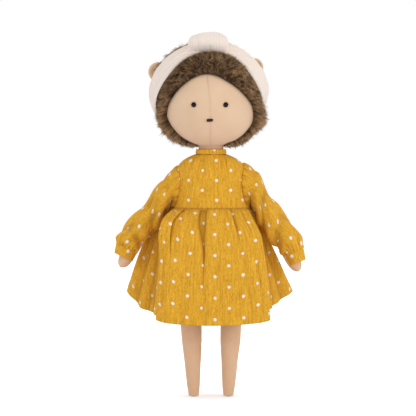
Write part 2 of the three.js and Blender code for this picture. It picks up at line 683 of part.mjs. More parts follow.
for (const side of [1, -1]) {
  const name = side > 0 ? 'left' : 'right';
  const arm = group();
  arm.position.set(side * SHOULDER_X, 0, SHOULDER_Z);
  arm.rotation.y = (-side * ARM_LEAN * Math.PI) / 180;
  const armInner = limbProfile(armRows, ARM_LENGTH, SKIN)
    .map(([r, z]) => [r, Math.max(z, SKIN - ARM_LENGTH)]);
  const armOuter = ballThenRows(armBall, ARM_MOUTH_RADIUS, limbProfile(armRows, ARM_LENGTH, 0), 0);
  const armLining = ballThenRows(armBall, ARM_MOUTH_RADIUS, armInner, SKIN);
  const armSkin = turned([...armOuter, ...armLining.reverse(), armOuter[0]]);
  const fillRows = limbProfile(armRows.slice(0, -1), ARM_LENGTH, SKIN + GAP);
  const fillEnd = [0, fillRows.at(-1)[1]];
  const armFill = turned([...ballThenRows(armBall, 0, fillRows, SKIN + GAP), fillEnd], FILL_FACETS);
  const [sleeveOuter, sleeveLining] = [0, DRESS_CLOTH].map((inset) => {
    return ballThenRows(SLEEVE_BALL_RADIUS, 0, limbProfile(sleeveRows, SLEEVE_LENGTH, inset), inset);
  });
  const sleeve = turned([...sleeveOuter, ...sleeveLining.reverse()]);
  const cuffInner = CUFF_RADIUS - CUFF_THICKNESS;
  const cuffTop = -SLEEVE_LENGTH - GAP;
  const cuff = turned([
    [cuffInner, cuffTop],
    [CUFF_RADIUS, cuffTop],
    [CUFF_RADIUS, cuffTop - CUFF_LENGTH],
    [cuffInner, cuffTop - CUFF_LENGTH],
    [cuffInner, cuffTop],
  ]);
  add(arm, `arm_${name}_skin`, armSkin, limbJersey);
  add(arm, `arm_${name}_stuffing`, armFill, stuffing);
  add(arm, `sleeve_${name}`, sleeve, gauze);
  add(arm, `cuff_${name}`, cuff, gauze);
}

// Hip strip: flat cloth between two fold lines, rounded along both.
const hips = group();
const stripOutline = new THREE.Shape();
stripOutline.absarc(0, HIP_FOLD_Z, STRIP_THICKNESS / 2, 0, Math.PI);
stripOutline.absarc(0, LEG_FOLD_Z, STRIP_THICKNESS / 2, Math.PI, 2 * Math.PI);
const stripCut = { depth: STRIP_WIDTH, bevelEnabled: false, curveSegments: 8 };
const strip = new THREE.ExtrudeGeometry(stripOutline, stripCut);
strip.rotateX(Math.PI / 2).rotateZ(Math.PI / 2).translate(-STRIP_WIDTH / 2, 0, 0);
add(hips, 'hip_strip', solid(strip), limbJersey);

// Legs: long cones of jersey, round at the sewn top, with the foot cut flat at the floor.
const legRows = [
  [0, 0],
  [0.004, 0.66],
  [0.018, 0.87],
  [0.043, 1],
];
const legTaper = [
  [0.15, 0.23],
  [0.29, 0.46],
  [0.4, 0.69],
  [0.54, 0.784],
  [0.7, 0.9],
  [0.84, 1],
  [0.93, 0.93],
  [0.975, 0.36],
  [0.993, -0.35],
  [1, -0.72],
];
function legProfile(inset) {
  const grow = THIGH_RADIUS - FOOT_RADIUS;
  const rows = legRows.map(([up, r]) => [r * FOOT_RADIUS, up]);
  rows.push(...legTaper.map(([up, share]) => [FOOT_RADIUS + share * grow, up]));
  const low = -SOLE_CUT + inset;
  return rows.map(([r, up]) => [Math.max(r - inset, 0), low + up * (LEG_LENGTH - low)]);
}
const below = (z) => block(-AWAY, AWAY, -AWAY, AWAY, -AWAY, z);
const legLean = Math.atan2(LEG_SPREAD_TOP - LEG_SPREAD_SOLE, LEG_LENGTH);
for (const side of [1, -1]) {
  const name = side > 0 ? 'left' : 'right';
  const leg = group(hips);
  const put = (body) => body
    .rotate([0, (side * legLean * 180) / Math.PI, 0])
    .translate([side * LEG_SPREAD_SOLE, 0, 0]);
  const outside = turned([...legProfile(0), [0, LEG_LENGTH]]);
  const insideRows = legProfile(SKIN).filter(([r]) => r > 0);
  const openEnd = [[insideRows.at(-1)[0], LEG_LENGTH + 2], [0, LEG_LENGTH + 2]];
  const inside = turned([[0, insideRows[0][1]], ...insideRows, ...openEnd]);
  const fillRows = legProfile(SKIN + GAP).filter(([r]) => r > 0);
  const fill = turned([[0, fillRows[0][1]], ...fillRows, [0, fillRows.at(-1)[1]]], FILL_FACETS);
  add(leg, `leg_${name}_skin`, put(outside.subtract(inside)).subtract(below(0)), limbJersey);
  add(leg, `leg_${name}_stuffing`, put(fill).subtract(below(SKIN + GAP)), stuffing);
}

export default root;
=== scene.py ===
"""A stuffed hedgehog doll in a cotton dress: the dressed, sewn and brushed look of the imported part.

Lengths in the sections are millimetres in the part's own frame: the origin is on the floor midway
between the soles, the doll faces -Y, and its left side is +X. Meshes are made in metres.
"""
from math import pi

import bpy
import numpy as np
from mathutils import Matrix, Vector


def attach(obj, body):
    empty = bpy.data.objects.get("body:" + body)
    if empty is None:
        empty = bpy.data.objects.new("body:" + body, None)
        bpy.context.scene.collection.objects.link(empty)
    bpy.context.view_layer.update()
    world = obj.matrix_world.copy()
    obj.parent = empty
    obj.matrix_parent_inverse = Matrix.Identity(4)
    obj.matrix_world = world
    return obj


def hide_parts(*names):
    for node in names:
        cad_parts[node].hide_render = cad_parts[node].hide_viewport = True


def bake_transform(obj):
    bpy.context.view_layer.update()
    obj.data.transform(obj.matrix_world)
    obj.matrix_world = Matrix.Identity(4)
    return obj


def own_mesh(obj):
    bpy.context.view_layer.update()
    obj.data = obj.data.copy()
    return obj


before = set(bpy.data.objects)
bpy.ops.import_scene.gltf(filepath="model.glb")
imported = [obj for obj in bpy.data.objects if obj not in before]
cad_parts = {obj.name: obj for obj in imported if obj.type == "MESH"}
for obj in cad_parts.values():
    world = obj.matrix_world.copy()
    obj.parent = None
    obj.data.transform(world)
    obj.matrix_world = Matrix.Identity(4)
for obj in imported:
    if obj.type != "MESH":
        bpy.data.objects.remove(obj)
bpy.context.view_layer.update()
rng = np.random.default_rng(7)
scene = bpy.context.scene


# Torso: a flat pillow of plain cotton, sewn all round and stuffed through the neck. Its lower edge
# closes on the hip seam, and its top stays open for the neck. Only its lower end ever shows.
TO_LEFT, TO_BACK = np.eye(3)[:2]


def smooth(low, high, x):
    """Runs from 0 at low to 1 at high along 3t^2 - 2t^3."""
    t = np.clip((x - low) / (high - low), 0, 1)
    return t * t * (3 - 2 * t)


def bell(x, middle, width):
    """A bump of height 1: exp(-((x - middle) / width)^2)."""
    return np.exp(-((x - middle) / width) ** 2)


def through(rows, at):
    """A smooth curve through rows of (place, value, ...): cubic pieces with chord slopes at the rows."""
    rows = np.array(rows, float)
    place, values = rows[:, 0], rows[:, 1:]
    at = np.clip(at, place[0], place[-1])
    i = np.clip(np.searchsorted(place, at, side="right") - 1, 0, len(place) - 2)
    slopes = np.gradient(values, place, axis=0)
    span = (place[i + 1] - place[i])[..., None]
    s = (at - place[i])[..., None] / span
    ease = s * s * (3 - 2 * s)
    return (values[i] + (values[i + 1] - values[i]) * ease
            + slopes[i] * span * s * (1 - s) ** 2 - slopes[i + 1] * span * s * s * (1 - s))


def drawn_waves(seed, waves, low, high):
    """Speeds in two directions and starts of some uneven waves, drawn from the seed."""
    draw = np.random.default_rng(seed)
    return zip(*(draw.uniform(*ends, waves) for ends in ((low, high), (-high, high), (0, 6.3))))


def ripple(a, b, seed, waves=5):
    """Uneven waves in two numbers: a mean of sines."""
    drawn = drawn_waves(seed, waves, 1, 3)
    return sum(np.sin(fast_a * a + fast_b * b + start) for fast_a, fast_b, start in drawn) / waves


def round_ripple(fast, turn, b, seed, waves=5, low=1.0, high=3.0):
    """Like ripple(fast * turn, b), but each wave goes round a whole number of times, so it closes."""
    drawn = drawn_waves(seed, waves, low, high)
    whole = ((max(round(fast_a * fast), 1), fast_b, start) for fast_a, fast_b, start in drawn)
    return sum(np.sin(count * turn + fast_b * b + start) for count, fast_b, start in whole) / waves


def turns(count):
    """Angles at even steps round a full turn."""
    return np.linspace(0, 2 * pi, count, endpoint=False)


def grid(rows, columns):
    """A column of shares from 0 to 1, and a row of angles round a full turn."""
    return np.linspace(0, 1, rows)[:, None], turns(columns)[None, :]


def join(*parts):
    """Points from their parts, such as x, y and z, which may differ in shape."""
    return np.stack(np.broadcast_arrays(*parts), -1)


def unit(vectors):
    """The vectors at length 1."""
    return vectors / np.maximum(np.linalg.norm(vectors, axis=-1, keepdims=True), 1e-9)


def mesh_object(name, material, points, faces, uv=None, values=None):
    """A smooth mesh in metres from millimetre points, arrays of faces, UVs and values by point."""
    mesh = bpy.data.meshes.new(name)
    corners = np.concatenate([f.ravel() for f in faces]).astype(np.int32)
    totals = np.concatenate([np.full(len(f), f.shape[1]) for f in faces]).astype(np.int32)
    mesh.vertices.add(len(points))
    mesh.vertices.foreach_set("co", (np.asarray(points, np.float32) * 0.001).ravel())
    mesh.loops.add(len(corners))
    mesh.loops.foreach_set("vertex_index", corners)
    mesh.polygons.add(len(totals))
    mesh.polygons.foreach_set("loop_start", (np.cumsum(totals) - totals).astype(np.int32))
    mesh.update(calc_edges=True)
    mesh.polygons.foreach_set("use_smooth", np.ones(len(totals), bool))
    if uv is not None:
        mesh.uv_layers.new(name="cloth").data.foreach_set("uv", np.asarray(uv, np.float32)[corners].ravel())
    for title, data in (values or {}).items():
        layer = mesh.attributes.new(title, "FLOAT", "POINT")
        layer.data.foreach_set("value", np.asarray(data, np.float32).ravel())
    mesh.materials.append(material)
    made = bpy.data.objects.new(name, mesh)
    scene.collection.objects.link(made)
    return made


def skin(name, material, points, ends="pole", uv=None, values=None):
    """A closed surface from rows of points. Each row is a ring, so its last column meets its first. The
    first and last rows close to their middle points ("pole"), or they meet each other ("loop")."""
    rows, columns = points.shape[:2]
    at = np.arange(rows * columns).reshape(rows, columns)
    rings = np.vstack([at, at[:1]]) if ends == "loop" else at
    right = np.roll(rings, -1, axis=1)
    faces = [np.stack([rings[:-1], right[:-1], right[1:], rings[1:]], -1).reshape(-1, 4)]
    grids = {"co": points, "uv": uv, **(values or {})}
    flat = {k: np.asarray(v, float).reshape(rows * columns, -1) for k, v in grids.items() if v is not None}
    if ends == "pole":
        for ring, way in ((at[0], -1), (at[-1], 1)):
            hub = np.full(columns, len(flat["co"]))
            faces.append(np.stack([hub, ring, np.roll(ring, -1)][::way], -1))
            flat = {k: np.vstack([v, v[ring].mean(0)]) for k, v in flat.items()}
    points, uv = flat.pop("co"), flat.pop("uv", None)
    return mesh_object(name, material, points, faces, uv, flat)


def walled(points, wall):
    """Gives an open tube of rings a wall: its rows, then the same rows moved in by the wall, in reverse."""
    along = np.gradient(points, axis=0)
    across = np.roll(points, -1, axis=1) - np.roll(points, 1, axis=1)
    return np.vstack([points, (points - unit(np.cross(across, along)) * wall)[::-1]])


def twice(values):
    """The values that go with walled(): a grid, then the same grid in reverse."""
    return np.concatenate([values, values[::-1]])


def ring_steps(points):
    """The lengths from column to column round each ring."""
    return np.linalg.norm(np.roll(points, -1, axis=1) - points, axis=-1)


def ring_uv(points, lengthwise):
    """Cloth coordinates in millimetres: round the widest ring from the front, and along the length."""
    size = ring_steps(points)
    widest = size[size.sum(1).argmax()]
    u = np.concatenate([[0], np.cumsum(widest)[:-1]])
    u = u - widest.sum() * (u > widest.sum() / 2)
    return join(u[None, :], lengthwise)


def row_uv(points, lengthwise, share=0.8):
    """Cloth coordinates in millimetres whose width follows each ring by a share, and the widest ring else."""
    size = ring_steps(points)
    total = size.sum(1, keepdims=True)
    u = np.cumsum(size, axis=1) - size
    u = u - total * (u > total / 2)
    return join(share * u + (1 - share) * u[total.argmax()], lengthwise)


def linear(code):
    """A #RRGGBB colour as Blender's linear red, green, blue and alpha."""
    share = np.array([int(code[i:i + 2], 16) / 255 for i in (1, 3, 5)])
    share = np.where(share <= 0.04045, share / 12.92, ((share + 0.055) / 1.055) ** 2.4)
    return (*share, 1.0)


def put(tree, kind, inputs=None, **settings):
    """Adds a node, with its settings and its inputs: a socket is linked, anything else is a value."""
    node = tree.nodes.new("ShaderNode" + kind)
    for key, value in settings.items():
        setattr(node, key, value)
    for key, value in (inputs or {}).items():
        if isinstance(value, bpy.types.NodeSocket):
            tree.links.new(value, node.inputs[key])
        else:
            node.inputs[key].default_value = value
    return node


def calc(tree, operation, *values):
    """One Math node's result."""
    return put(tree, "Math", dict(enumerate(values)), operation=operation).outputs[0]


def ranged(tree, value, low=0.0, high=1.0, to_low=0.0, to_high=1.0):
    """A value moved from one range to another."""
    ends = {"From Min": low, "From Max": high, "To Min": to_low, "To Max": to_high}
    return put(tree, "MapRange", {"Value": value, **ends}).outputs[0]


def noise(tree, place, scale, detail, **more):
    """Fractal noise at a place."""
    return put(tree, "TexNoise", {"Vector": place, "Scale": scale, "Detail": detail, **more}).outputs["Fac"]


def stretched_noise(tree, place, scales, detail, **more):
    """Fractal noise with its own scale in each direction."""
    drawn = put(tree, "Mapping", {"Vector": place, "Scale": scales}).outputs[0]
    return noise(tree, drawn, 1.0, detail, **more)


def between(tree, share, low, high, **settings):
    """A colour from low to high by a share. Each is a #RRGGBB code or a socket."""
    ends = [linear(end) if isinstance(end, str) else end for end in (low, high)]
    return put(tree, "Mix", {0: share, 6: ends[0], 7: ends[1]}, data_type="RGBA", **settings).outputs[2]


def stored(tree, title):
    """A value that the mesh stores by point."""
    return put(tree, "Attribute", attribute_name=title).outputs["Fac"]


def group(name, inputs, outputs):
    """An empty node group, with its input sockets and its output sockets."""
    tree = bpy.data.node_groups.new(name, "ShaderNodeTree")
    for title, kind, value in inputs:
        socket = tree.interface.new_socket(title, in_out="INPUT", socket_type="NodeSocket" + kind)
        socket.default_value = value
    for title, kind in outputs:
        tree.interface.new_socket(title, in_out="OUTPUT", socket_type="NodeSocket" + kind)
    return tree, tree.nodes.new("NodeGroupInput").outputs, tree.nodes.new("NodeGroupOutput").inputs


def use(tree, made, inputs):
    """Places a node group in a material."""
    return put(tree, "Group", inputs, node_tree=made).outputs


def finish(name, roughness, **shader):
    """A material with a Principled BSDF, whose plain values are set on the shader itself."""
    material = bpy.data.materials.new(name)
    material.use_nodes = True
    shade = material.node_tree.nodes["Principled BSDF"]
    shade.inputs["Roughness"].default_value = roughness
    for key, value in shader.items():
        shade.inputs[key.replace("_", " ")].default_value = value
    return material, material.node_tree, shade


def cover(tree, shade, colour, height=None, strength=0.0, distance=0.0):
    """Gives a shader its colour, and its bump: a height, and its strength and distance in metres."""
    tree.links.new(colour, shade.inputs["Base Color"])
    if height is not None:
        bump = put(tree, "Bump", {"Height": height, "Strength": strength, "Distance": distance})
        tree.links.new(bump.outputs[0], shade.inputs["Normal"])


def cloth_place(tree):
    """Cloth coordinates, in millimetres."""
    return put(tree, "UVMap", uv_map="cloth").outputs[0]


# Plain weave: threads that run over and under, worked out on cloth coordinates in millimetres.
weave, given, result = group(
    "plain_weave",
    [("Cloth", "Vector", (0, 0, 0)), ("Thread", "Float", 0.4), ("Unevenness", "Float", 0.5)],
    [("Height", "Float"), ("Shade", "Float")],
)
parts = put(weave, "SeparateXYZ", {0: given["Cloth"]}).outputs
rate = calc(weave, "DIVIDE", pi, given["Thread"])
warp, weft = (calc(weave, "SINE", calc(weave, "MULTIPLY", parts[k], rate)) for k in (0, 1))
slub = noise(weave, given["Cloth"], 0.35, 3.0)
crossing = calc(weave, "MULTIPLY_ADD", calc(weave, "MULTIPLY", warp, weft), 0.5, 0.5)
weave.links.new(calc(weave, "MULTIPLY_ADD", slub, given["Unevenness"], crossing), result["Height"])
weave.links.new(slub, result["Shade"])

body_cotton, tree, shade = finish("body_cotton", 0.92, Sheen_Weight=0.15)
threads = use(tree, weave, {"Cloth": cloth_place(tree), "Thread": 0.5})
cover(tree, shade, between(tree, threads["Shade"], "#D9C1A6", "#EBD7C0"), threads["Height"], 0.35, 0.0002)

TORSO_LOW, TORSO_TALL = 119.8, 77.7
torso_rows = [
    (0, 0.735, 0.087), (0.04, 0.81, 0.24), (0.1, 0.89, 0.46), (0.19, 0.955, 0.71), (0.31, 0.99, 0.896),
    (0.46, 1, 1), (0.59, 0.979, 0.984), (0.72, 0.944, 0.896), (0.82, 0.874, 0.798), (0.9, 0.75, 0.72),
    (0.955, 0.6, 0.7), (1, 0.472, 0.667),
]


def oval_rings(rows, low, tall, wide, deep, steps, round_steps):
    """Oval rings up a body: x = w sin(turn), y = -d cos(turn), with w and d read from the rows by height."""
    up, turn = grid(steps, round_steps)
    w, d = np.moveaxis(through(rows, up), -1, 0)
    return join(w * wide * np.sin(turn), -d * deep * np.cos(turn), low + up * tall)


torso_rings = oval_rings(torso_rows, TORSO_LOW, TORSO_TALL, 28.6, 18.3, 70, 120)
pucker = 0.35 * bell(torso_rings[..., 2], TORSO_LOW, 9) * np.sin(torso_rings[..., 0] * 1.1)
torso_rings[..., 1] += pucker * np.sign(torso_rings[..., 1])
torso_uv = twice(ring_uv(torso_rings, torso_rings[..., 2]))
torso = skin("torso_cloth", body_cotton, walled(torso_rings, 0.8), uv=torso_uv)
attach(torso, "torso")
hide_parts("torso_skin")


# Legs: long cones of cotton jersey, one seam inside, turned and stuffed through the top, which is sewn
# shut along the hip strip. The foot is a plain round end with no sole piece.
limb_jersey, tree, shade = finish("limb_jersey", 0.88, Sheen_Weight=0.25, Sheen_Roughness=0.5)
cloth = cloth_place(tree)
wales = use(tree, weave, {"Cloth": cloth, "Thread": 0.45, "Unevenness": 0.8})
blush = noise(tree, cloth, 0.045, 2.0)
share = calc(tree, "MULTIPLY_ADD", blush, 0.8, calc(tree, "MULTIPLY", wales["Shade"], 0.25))
cover(tree, shade, between(tree, share, "#D2A57E", "#EBC5A2"), wales["Height"], 0.3, 0.0002)

LEG_LONG = 112.0
leg_rows = [
    (0, 0.2), (0.004, 3.1), (0.018, 4.1), (0.043, 4.7), (0.15, 5.9), (0.29, 7.05), (0.4, 8.2),
    (0.54, 8.7), (0.7, 9.3), (0.84, 9.8), (0.93, 9.45), (0.975, 6.5), (0.993, 2.9), (1, 1.0),
]
for name, hand in (("left", 1), ("right", -1)):
    up, turn = grid(130, 72)
    radius = through(leg_rows, up)[..., 0]
    crease = 0.22 * round_ripple(3, turn, up * 38, 11 + hand, 4, 0.6, 1.0) * smooth(0.08, 0.35, up)
    ankle = bell(up - 0.37 - 0.012 * np.sin(turn), 0, 0.012)
    crease = crease - 0.3 * ankle * (0.6 + 0.4 * np.cos(turn + hand))
    radius = radius + crease * (radius > 3)
    flat = 1 - 0.55 * smooth(0.9, 1.0, up)
    centre = hand * (14.2 + 4.1 * up)
    spread = 1 + 0.25 * smooth(0.9, 1, up)
    rings = join(centre + radius * np.sin(turn) * spread, -radius * flat * np.cos(turn), up * LEG_LONG)
    leg = skin(f"leg_{name}_jersey", limb_jersey, rings, uv=ring_uv(rings, rings[..., 2]))
    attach(leg, f"leg_{name}")
    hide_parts(f"leg_{name}_skin")


# Hip strip: the seam allowance of both legs, a flat folded band sewn into the torso's lower edge. It has no
# stuffing.
def squared(t, power):
    """A wave with fuller sides: the sign of t times its size to a power."""
    return np.sign(t) * np.abs(t) ** power


STRIP_LOW, STRIP_HIGH, STRIP_HALF_WIDE = 112.3, 119.5, 24
along = np.linspace(-STRIP_HALF_WIDE, STRIP_HALF_WIDE, 80)[:, None]
turn = turns(40)[None, :]
rise = (STRIP_HIGH - STRIP_LOW) / 2 * np.sin(turn)
thick = 1.0 + 0.12 * np.sin(along * 2.2) - 0.35 * bell(rise, 0, 0.5)
rounded = squared(np.cos(turn), 0.4)
rings = join(along, thick * rounded, (STRIP_LOW + STRIP_HIGH) / 2 + rise * 0.99)
strip = skin("hip_strip_seam", limb_jersey, rings, uv=join(along, rise))
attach(strip, "hips")
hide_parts("hip_strip")


# Bodice: two panels of dotted double gauze with a shoulder and a side seam, gathered a little into the
# collar, and turned under at the waist where the skirt hangs from it.
dots, given, result = group(
    "dot_lattice",
    [("Cloth", "Vector", (0, 0, 0)), ("Ease", "Float", 1.0), ("Across", "Float", 24.0), ("Row", "Float", 8.1),
     ("Radius", "Float", 1.28)],
    [("Mask", "Float")],
)
parts = put(dots, "SeparateXYZ", {0: given["Cloth"]}).outputs
half_across = calc(dots, "MULTIPLY", given["Across"], 0.5)
row = calc(dots, "FLOOR", calc(dots, "DIVIDE", parts[1], given["Row"]))
shift = calc(dots, "MULTIPLY", calc(dots, "FLOORED_MODULO", row, 2.0), half_across)
away = calc(dots, "FLOORED_MODULO", calc(dots, "ADD", parts[0], shift), given["Across"])
away = calc(dots, "MULTIPLY", calc(dots, "SUBTRACT", away, half_across), given["Ease"])
rise = calc(dots, "FLOORED_MODULO", parts[1], given["Row"])
rise = calc(dots, "SUBTRACT", rise, calc(dots, "MULTIPLY", given["Row"], 0.5))
squares = (calc(dots, "MULTIPLY", side, side) for side in (away, rise))
reach = calc(dots, "SQRT", calc(dots, "ADD", *squares))
reach = calc(dots, "MULTIPLY_ADD", noise(dots, given["Cloth"], 0.9, 1.0), 0.5, reach)
edge_low, edge_high = (calc(dots, "ADD", given["Radius"], more) for more in (0.1, 0.4))
dots.links.new(ranged(dots, reach, edge_low, edge_high, 1.0, 0.0), result["Mask"])

crinkle, given, result = group(
    "crinkled_gauze", [("Cloth", "Vector", (0, 0, 0))], [("Height", "Float"), ("Shade", "Float")]
)
broad = stretched_noise(crinkle, given["Cloth"], (0.6, 0.085, 1.0), 4.0, Roughness=0.6)
fine = stretched_noise(crinkle, given["Cloth"], (1.7, 0.45, 1.0), 3.0)
half_broad = calc(crinkle, "MULTIPLY", broad, 0.5)
crinkle.links.new(calc(crinkle, "MULTIPLY_ADD", fine, 0.45, broad), result["Height"])
crinkle.links.new(calc(crinkle, "MULTIPLY_ADD", fine, 0.5, half_broad), result["Shade"])


def dotted_gauze(name, offset, row=8.1):
    """Ochre double gauze with white dots. The offset slides the cloth under the pattern, in millimetres."""
    sheen = {"Sheen_Weight": 0.06, "Sheen_Roughness": 0.6, "Sheen_Tint": linear("#F0BC5C")}
    material, tree, shade = finish(name, 0.93, **sheen)
    cloth = cloth_place(tree)
    moved = put(tree, "Mapping", {"Vector": cloth, "Location": (*offset, 0)}).outputs[0]
    puckers = use(tree, crinkle, {"Cloth": cloth})
    threads = use(tree, weave, {"Cloth": cloth, "Thread": 0.55, "Unevenness": 0.3})
    mask = use(tree, dots, {"Cloth": moved, "Ease": stored(tree, "ease"), "Row": row})["Mask"]
    gold = between(tree, ranged(tree, puckers["Shade"], 0.34, 0.66), "#C38709", "#F7BC33")
    tint = between(tree, mask, gold, "#F3ECE2")
    # Painted shade: the stored shade values darken the cloth towards deep gold in folds, the waist seam and
    # under the arms.
    tint = between(tree, stored(tree, "tuck_and_painted_shade"), tint, "#8F5403")
    height = calc(tree, "MULTIPLY_ADD", threads["Height"], 0.12, puckers["Height"])
    cover(tree, shade, tint, height, 0.85, 0.0012)
    return material


def eased(points, uv):
    """How much of the cloth's width shows: the real step from column to column over the step in cloth."""
    real = ring_steps(points)
    flat = np.abs(np.roll(uv[..., 0], -1, axis=1) - uv[..., 0])
    share = real / np.where(flat > 20, real, np.maximum(flat, 0.05))
    share = sum(np.roll(share, k, axis=1) for k in range(-3, 4)) / 7
    return np.clip(share, 0.3, 1.2)


def gauze_tube(name, material, rings, uv, tuck_and_painted_shade=None):
    """A tube of gauze with a wall. Its shade values, from 0 to 1 and cut off at 0.8, are painted shade: they
    darken the cloth towards deep gold in folds, the waist seam and under the arms.
    """
    values = {"ease": twice(eased(rings, uv))}
    if tuck_and_painted_shade is not None:
        values["tuck_and_painted_shade"] = twice(tuck_and_painted_shade.clip(0, 0.8))
    return skin(name, material, walled(rings, 0.6), "loop", twice(uv), values)


WAIST, BODICE_TALL, BODICE_WIDE, BODICE_DEEP = 155.8, 43.6, 31.2, 20.8
bodice_rows = [
    (0, 1, 1), (0.14, 0.96, 0.971), (0.32, 0.942, 0.942), (0.5, 0.929, 0.894), (0.64, 0.925, 0.84),
    (0.74, 0.9, 0.79), (0.85, 0.79, 0.74), (0.93, 0.64, 0.69), (1, 0.42, 0.606),
]


def bodice_oval(z):
    """The bodice's half width and half depth at a height."""
    w, d = np.moveaxis(through(bodice_rows, (z - WAIST) / BODICE_TALL), -1, 0)
    return BODICE_WIDE * w, BODICE_DEEP * d


rings = oval_rings(bodice_rows, WAIST, BODICE_TALL, BODICE_WIDE, BODICE_DEEP, 80, 330)
uv = row_uv(rings, rings[..., 2])
up = (rings[..., 2] - WAIST) / BODICE_TALL
turn = np.arctan2(rings[..., 0], -rings[..., 1])
ends = smooth(0.55, 1, up) + 0.6 * smooth(0.25, 0, up)
shape = 0.32 * np.cos(30 * turn + 2 * round_ripple(2, turn, 0 * up, 3)) * ends
shape += 0.7 * round_ripple(9, turn, 2.2 * up, 5, 6, 0.6, 1.5) * smooth(0, 0.2, up)
shape += sum(-0.9 * bell(turn, place, 0.035) * smooth(0.35, 0.85, up) for place in (-0.62, -0.46, 0.75, 0.52))
shape += 0.55 * bell(up, 0, 0.035)
rings = rings + join(np.sin(turn), -np.cos(turn), 0) * shape[..., None]
bodice = gauze_tube("bodice_gauze", dotted_gauze("dress_gauze_bodice", (7.3, 3.8)), rings, uv)
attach(bodice, "torso")
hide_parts("dress_bodice")


# Skirt: one long rectangle of the same gauze, gathered to the waist. It hangs with a flat front between
# two fold edges, and the rest swings back in a wing on each side. The hem is turned up and stitched.
SKIRT_TOP, HEM = 155.5, 8.3
# Each fold line of one side, front to back: degrees round the waist, where it ends at the hem, the power
# of the way down at which it swings out, and the share by which it puffs out under the waist instead.
lines_left = [
    (16, 18, -45.5, 61.6, 0.5, 0.2), (34, 35, -44.5, 62.9, 0.5, 0.4), (55, 44.6, -42, 64.3, 0.5, 0.8),
    (73, 46.6, -36.5, 65.2, 0.5, 1), (77, 42.8, -29.5, 66, 0.5, 0.9), (80, 41.8, -20, 67, 0.55, 0.6),
    (84, 45.5, -9, 69.5, 0.65, 0), (92, 55, 8, 76.5, 0.58, 0), (105, 66.4, 22, 85.2, 0.82, 0),
    (122, 56, 37, 78.8, 0.6, 0), (140, 38, 43.5, 70.8, 0.5, 0), (160, 19, 45.5, 67.3, 0.5, 0),
]
lines_right = [
    (-16, -18, -45.5, 61.6, 0.5, 0.2), (-34, -34, -44.5, 62.9, 0.5, 0.4), (-55, -41.8, -42, 64.5, 0.5, 0.85),
    (-73, -43.3, -36.5, 65.4, 0.4, 1), (-77, -42, -29.5, 66, 0.5, 1), (-80, -41.4, -20, 66.5, 0.5, 0.7),
    (-84, -46.5, -9, 68, 0.5, 0.2), (-92, -58.5, 8, 73, 0.5, 0), (-105, -68.5, 22, 85.6, 0.5, 0),
    (-122, -57, 37, 78.8, 0.5, 0), (-140, -38, 43.5, 70.8, 0.5, 0), (-160, -19, 45.5, 67.3, 0.5, 0),
]
whole_turn_on = [(360 + line[0], *line[1:]) for line in lines_right[::-1]]
front_line, back_line = (0, 0, -46.6, 61.3, 0.5, 0.1), (180, 0, 47, 65.8, 0.5, 0)
lines = np.array([front_line, *lines_left, back_line, *whole_turn_on], float)


def closed_curve(knots, at):
    """A closed curve through the knots, at places from 0 to 1:
    p(s) = 1/2 (2b + (c-a)s + (2a-5b+4c-d)s^2 + (3b-a-3c+d)s^3)."""
    count = len(knots)
    i = np.floor(at * count).astype(int)
    s = (at * count - i)[..., None]
    a, b, c, d = (knots[(i + k) % count] for k in (-1, 0, 1, 2))
    square, cube = 2 * a - 5 * b + 4 * c - d, 3 * b - a - 3 * c + d
    return 0.5 * (2 * b + (c - a) * s + square * s ** 2 + cube * s ** 3)


columns = 580
place = np.arange(columns) / columns
steady = lines.copy()
steady[:, 0] -= 360 * np.arange(len(lines)) / len(lines)
rim = closed_curve(steady, place)
turn = np.radians(rim[:, 0] + 360 * place)[None, :]
hem_x, hem_y, hem_z, power, puff = rim[:, 1:].T[:, None]
down = np.linspace(0, 1, 84)[:, None] ** 1.15
left_puff = through([(0, 0), (0.09, 0.23), (0.23, 0.56), (0.36, 0.69), (0.6, 0.84), (1, 1)], down)[..., 0]
right_puff = through([(0, 0), (0.087, 0.64), (0.2, 0.84), (0.4, 0.79), (0.57, 0.85), (1, 1)], down)[..., 0]
puffed = right_puff + (left_puff - right_puff) * smooth(-8, 8, hem_x)
flare = down ** power * (1 - puff) + puffed * puff
x = BODICE_WIDE * np.sin(turn) * (1 - flare) + hem_x * flare
y = -BODICE_DEEP * np.cos(turn) * (1 - flare) + hem_y * flare
rings = join(x, y, SKIRT_TOP + (hem_z - SKIRT_TOP) * down)
across = np.roll(rings, -1, axis=1) - np.roll(rings, 1, axis=1)
outward = unit(join(across[..., 1], -across[..., 0], 0))

# Where each column is among the fold lines: 0 in front, 13 at the back, and negative on its right side.
line_at = place * len(lines)
line_at = (line_at - len(lines) * (place >= 0.5))[None, :]
line_out = np.abs(line_at)
across_mm = 8.5 + 9 * np.sqrt(down)
below_seam = smooth(0, 0.03, down)
# Two grids: how far the cloth moves out, and painted shade that darkens it in pleats, folds, the waist seam
# and under the arms.
bend, tuck_and_painted_shade = np.zeros_like(x), np.zeros_like(x)
# Knife pleats: the fold line, its drift down the skirt, depth, width, how far down it fades, and its way.
knife_pleats = [
    (-3.5, 0.0, 4.6, 3.0, 0.21, -1), (-2.5, 0.18, 5.6, 5.0, 0.3, 1), (1.56, 0.0, 5.2, 4.0, 0.22, 1),
    (2.7, 0.0, 2.4, 3.0, 0.18, -1), (3.5, 0.0, 3.0, 2.5, 0.2, 1),
]
wing_pleats = (7.6, 8.4, 9.2, 10.0, 10.8, 11.6, 12.4)
knife_pleats += [(middle * hand, 0.0, 3.0, 4.5, 0.4, hand) for middle in wing_pleats for hand in (1, -1)]
# Each knife pleat also adds painted shade inside its fold.
for middle, drift, deep, wide, fade, way in knife_pleats:
    low = (line_at - middle - drift * down) * across_mm * way
    past = np.maximum(low, 0)
    shown = below_seam * bell(down, 0, fade)
    edge = smooth(-0.5, 0.6, low) * np.exp(-(past / wide) ** 1.2) - 0.4 * bell(low, -1.3, 1.5)
    bend -= deep * edge * shown
    tuck_and_painted_shade += 0.115 * deep * smooth(-0.3, 0.3, low) * bell(past, 0, 0.4 * wide) * shown
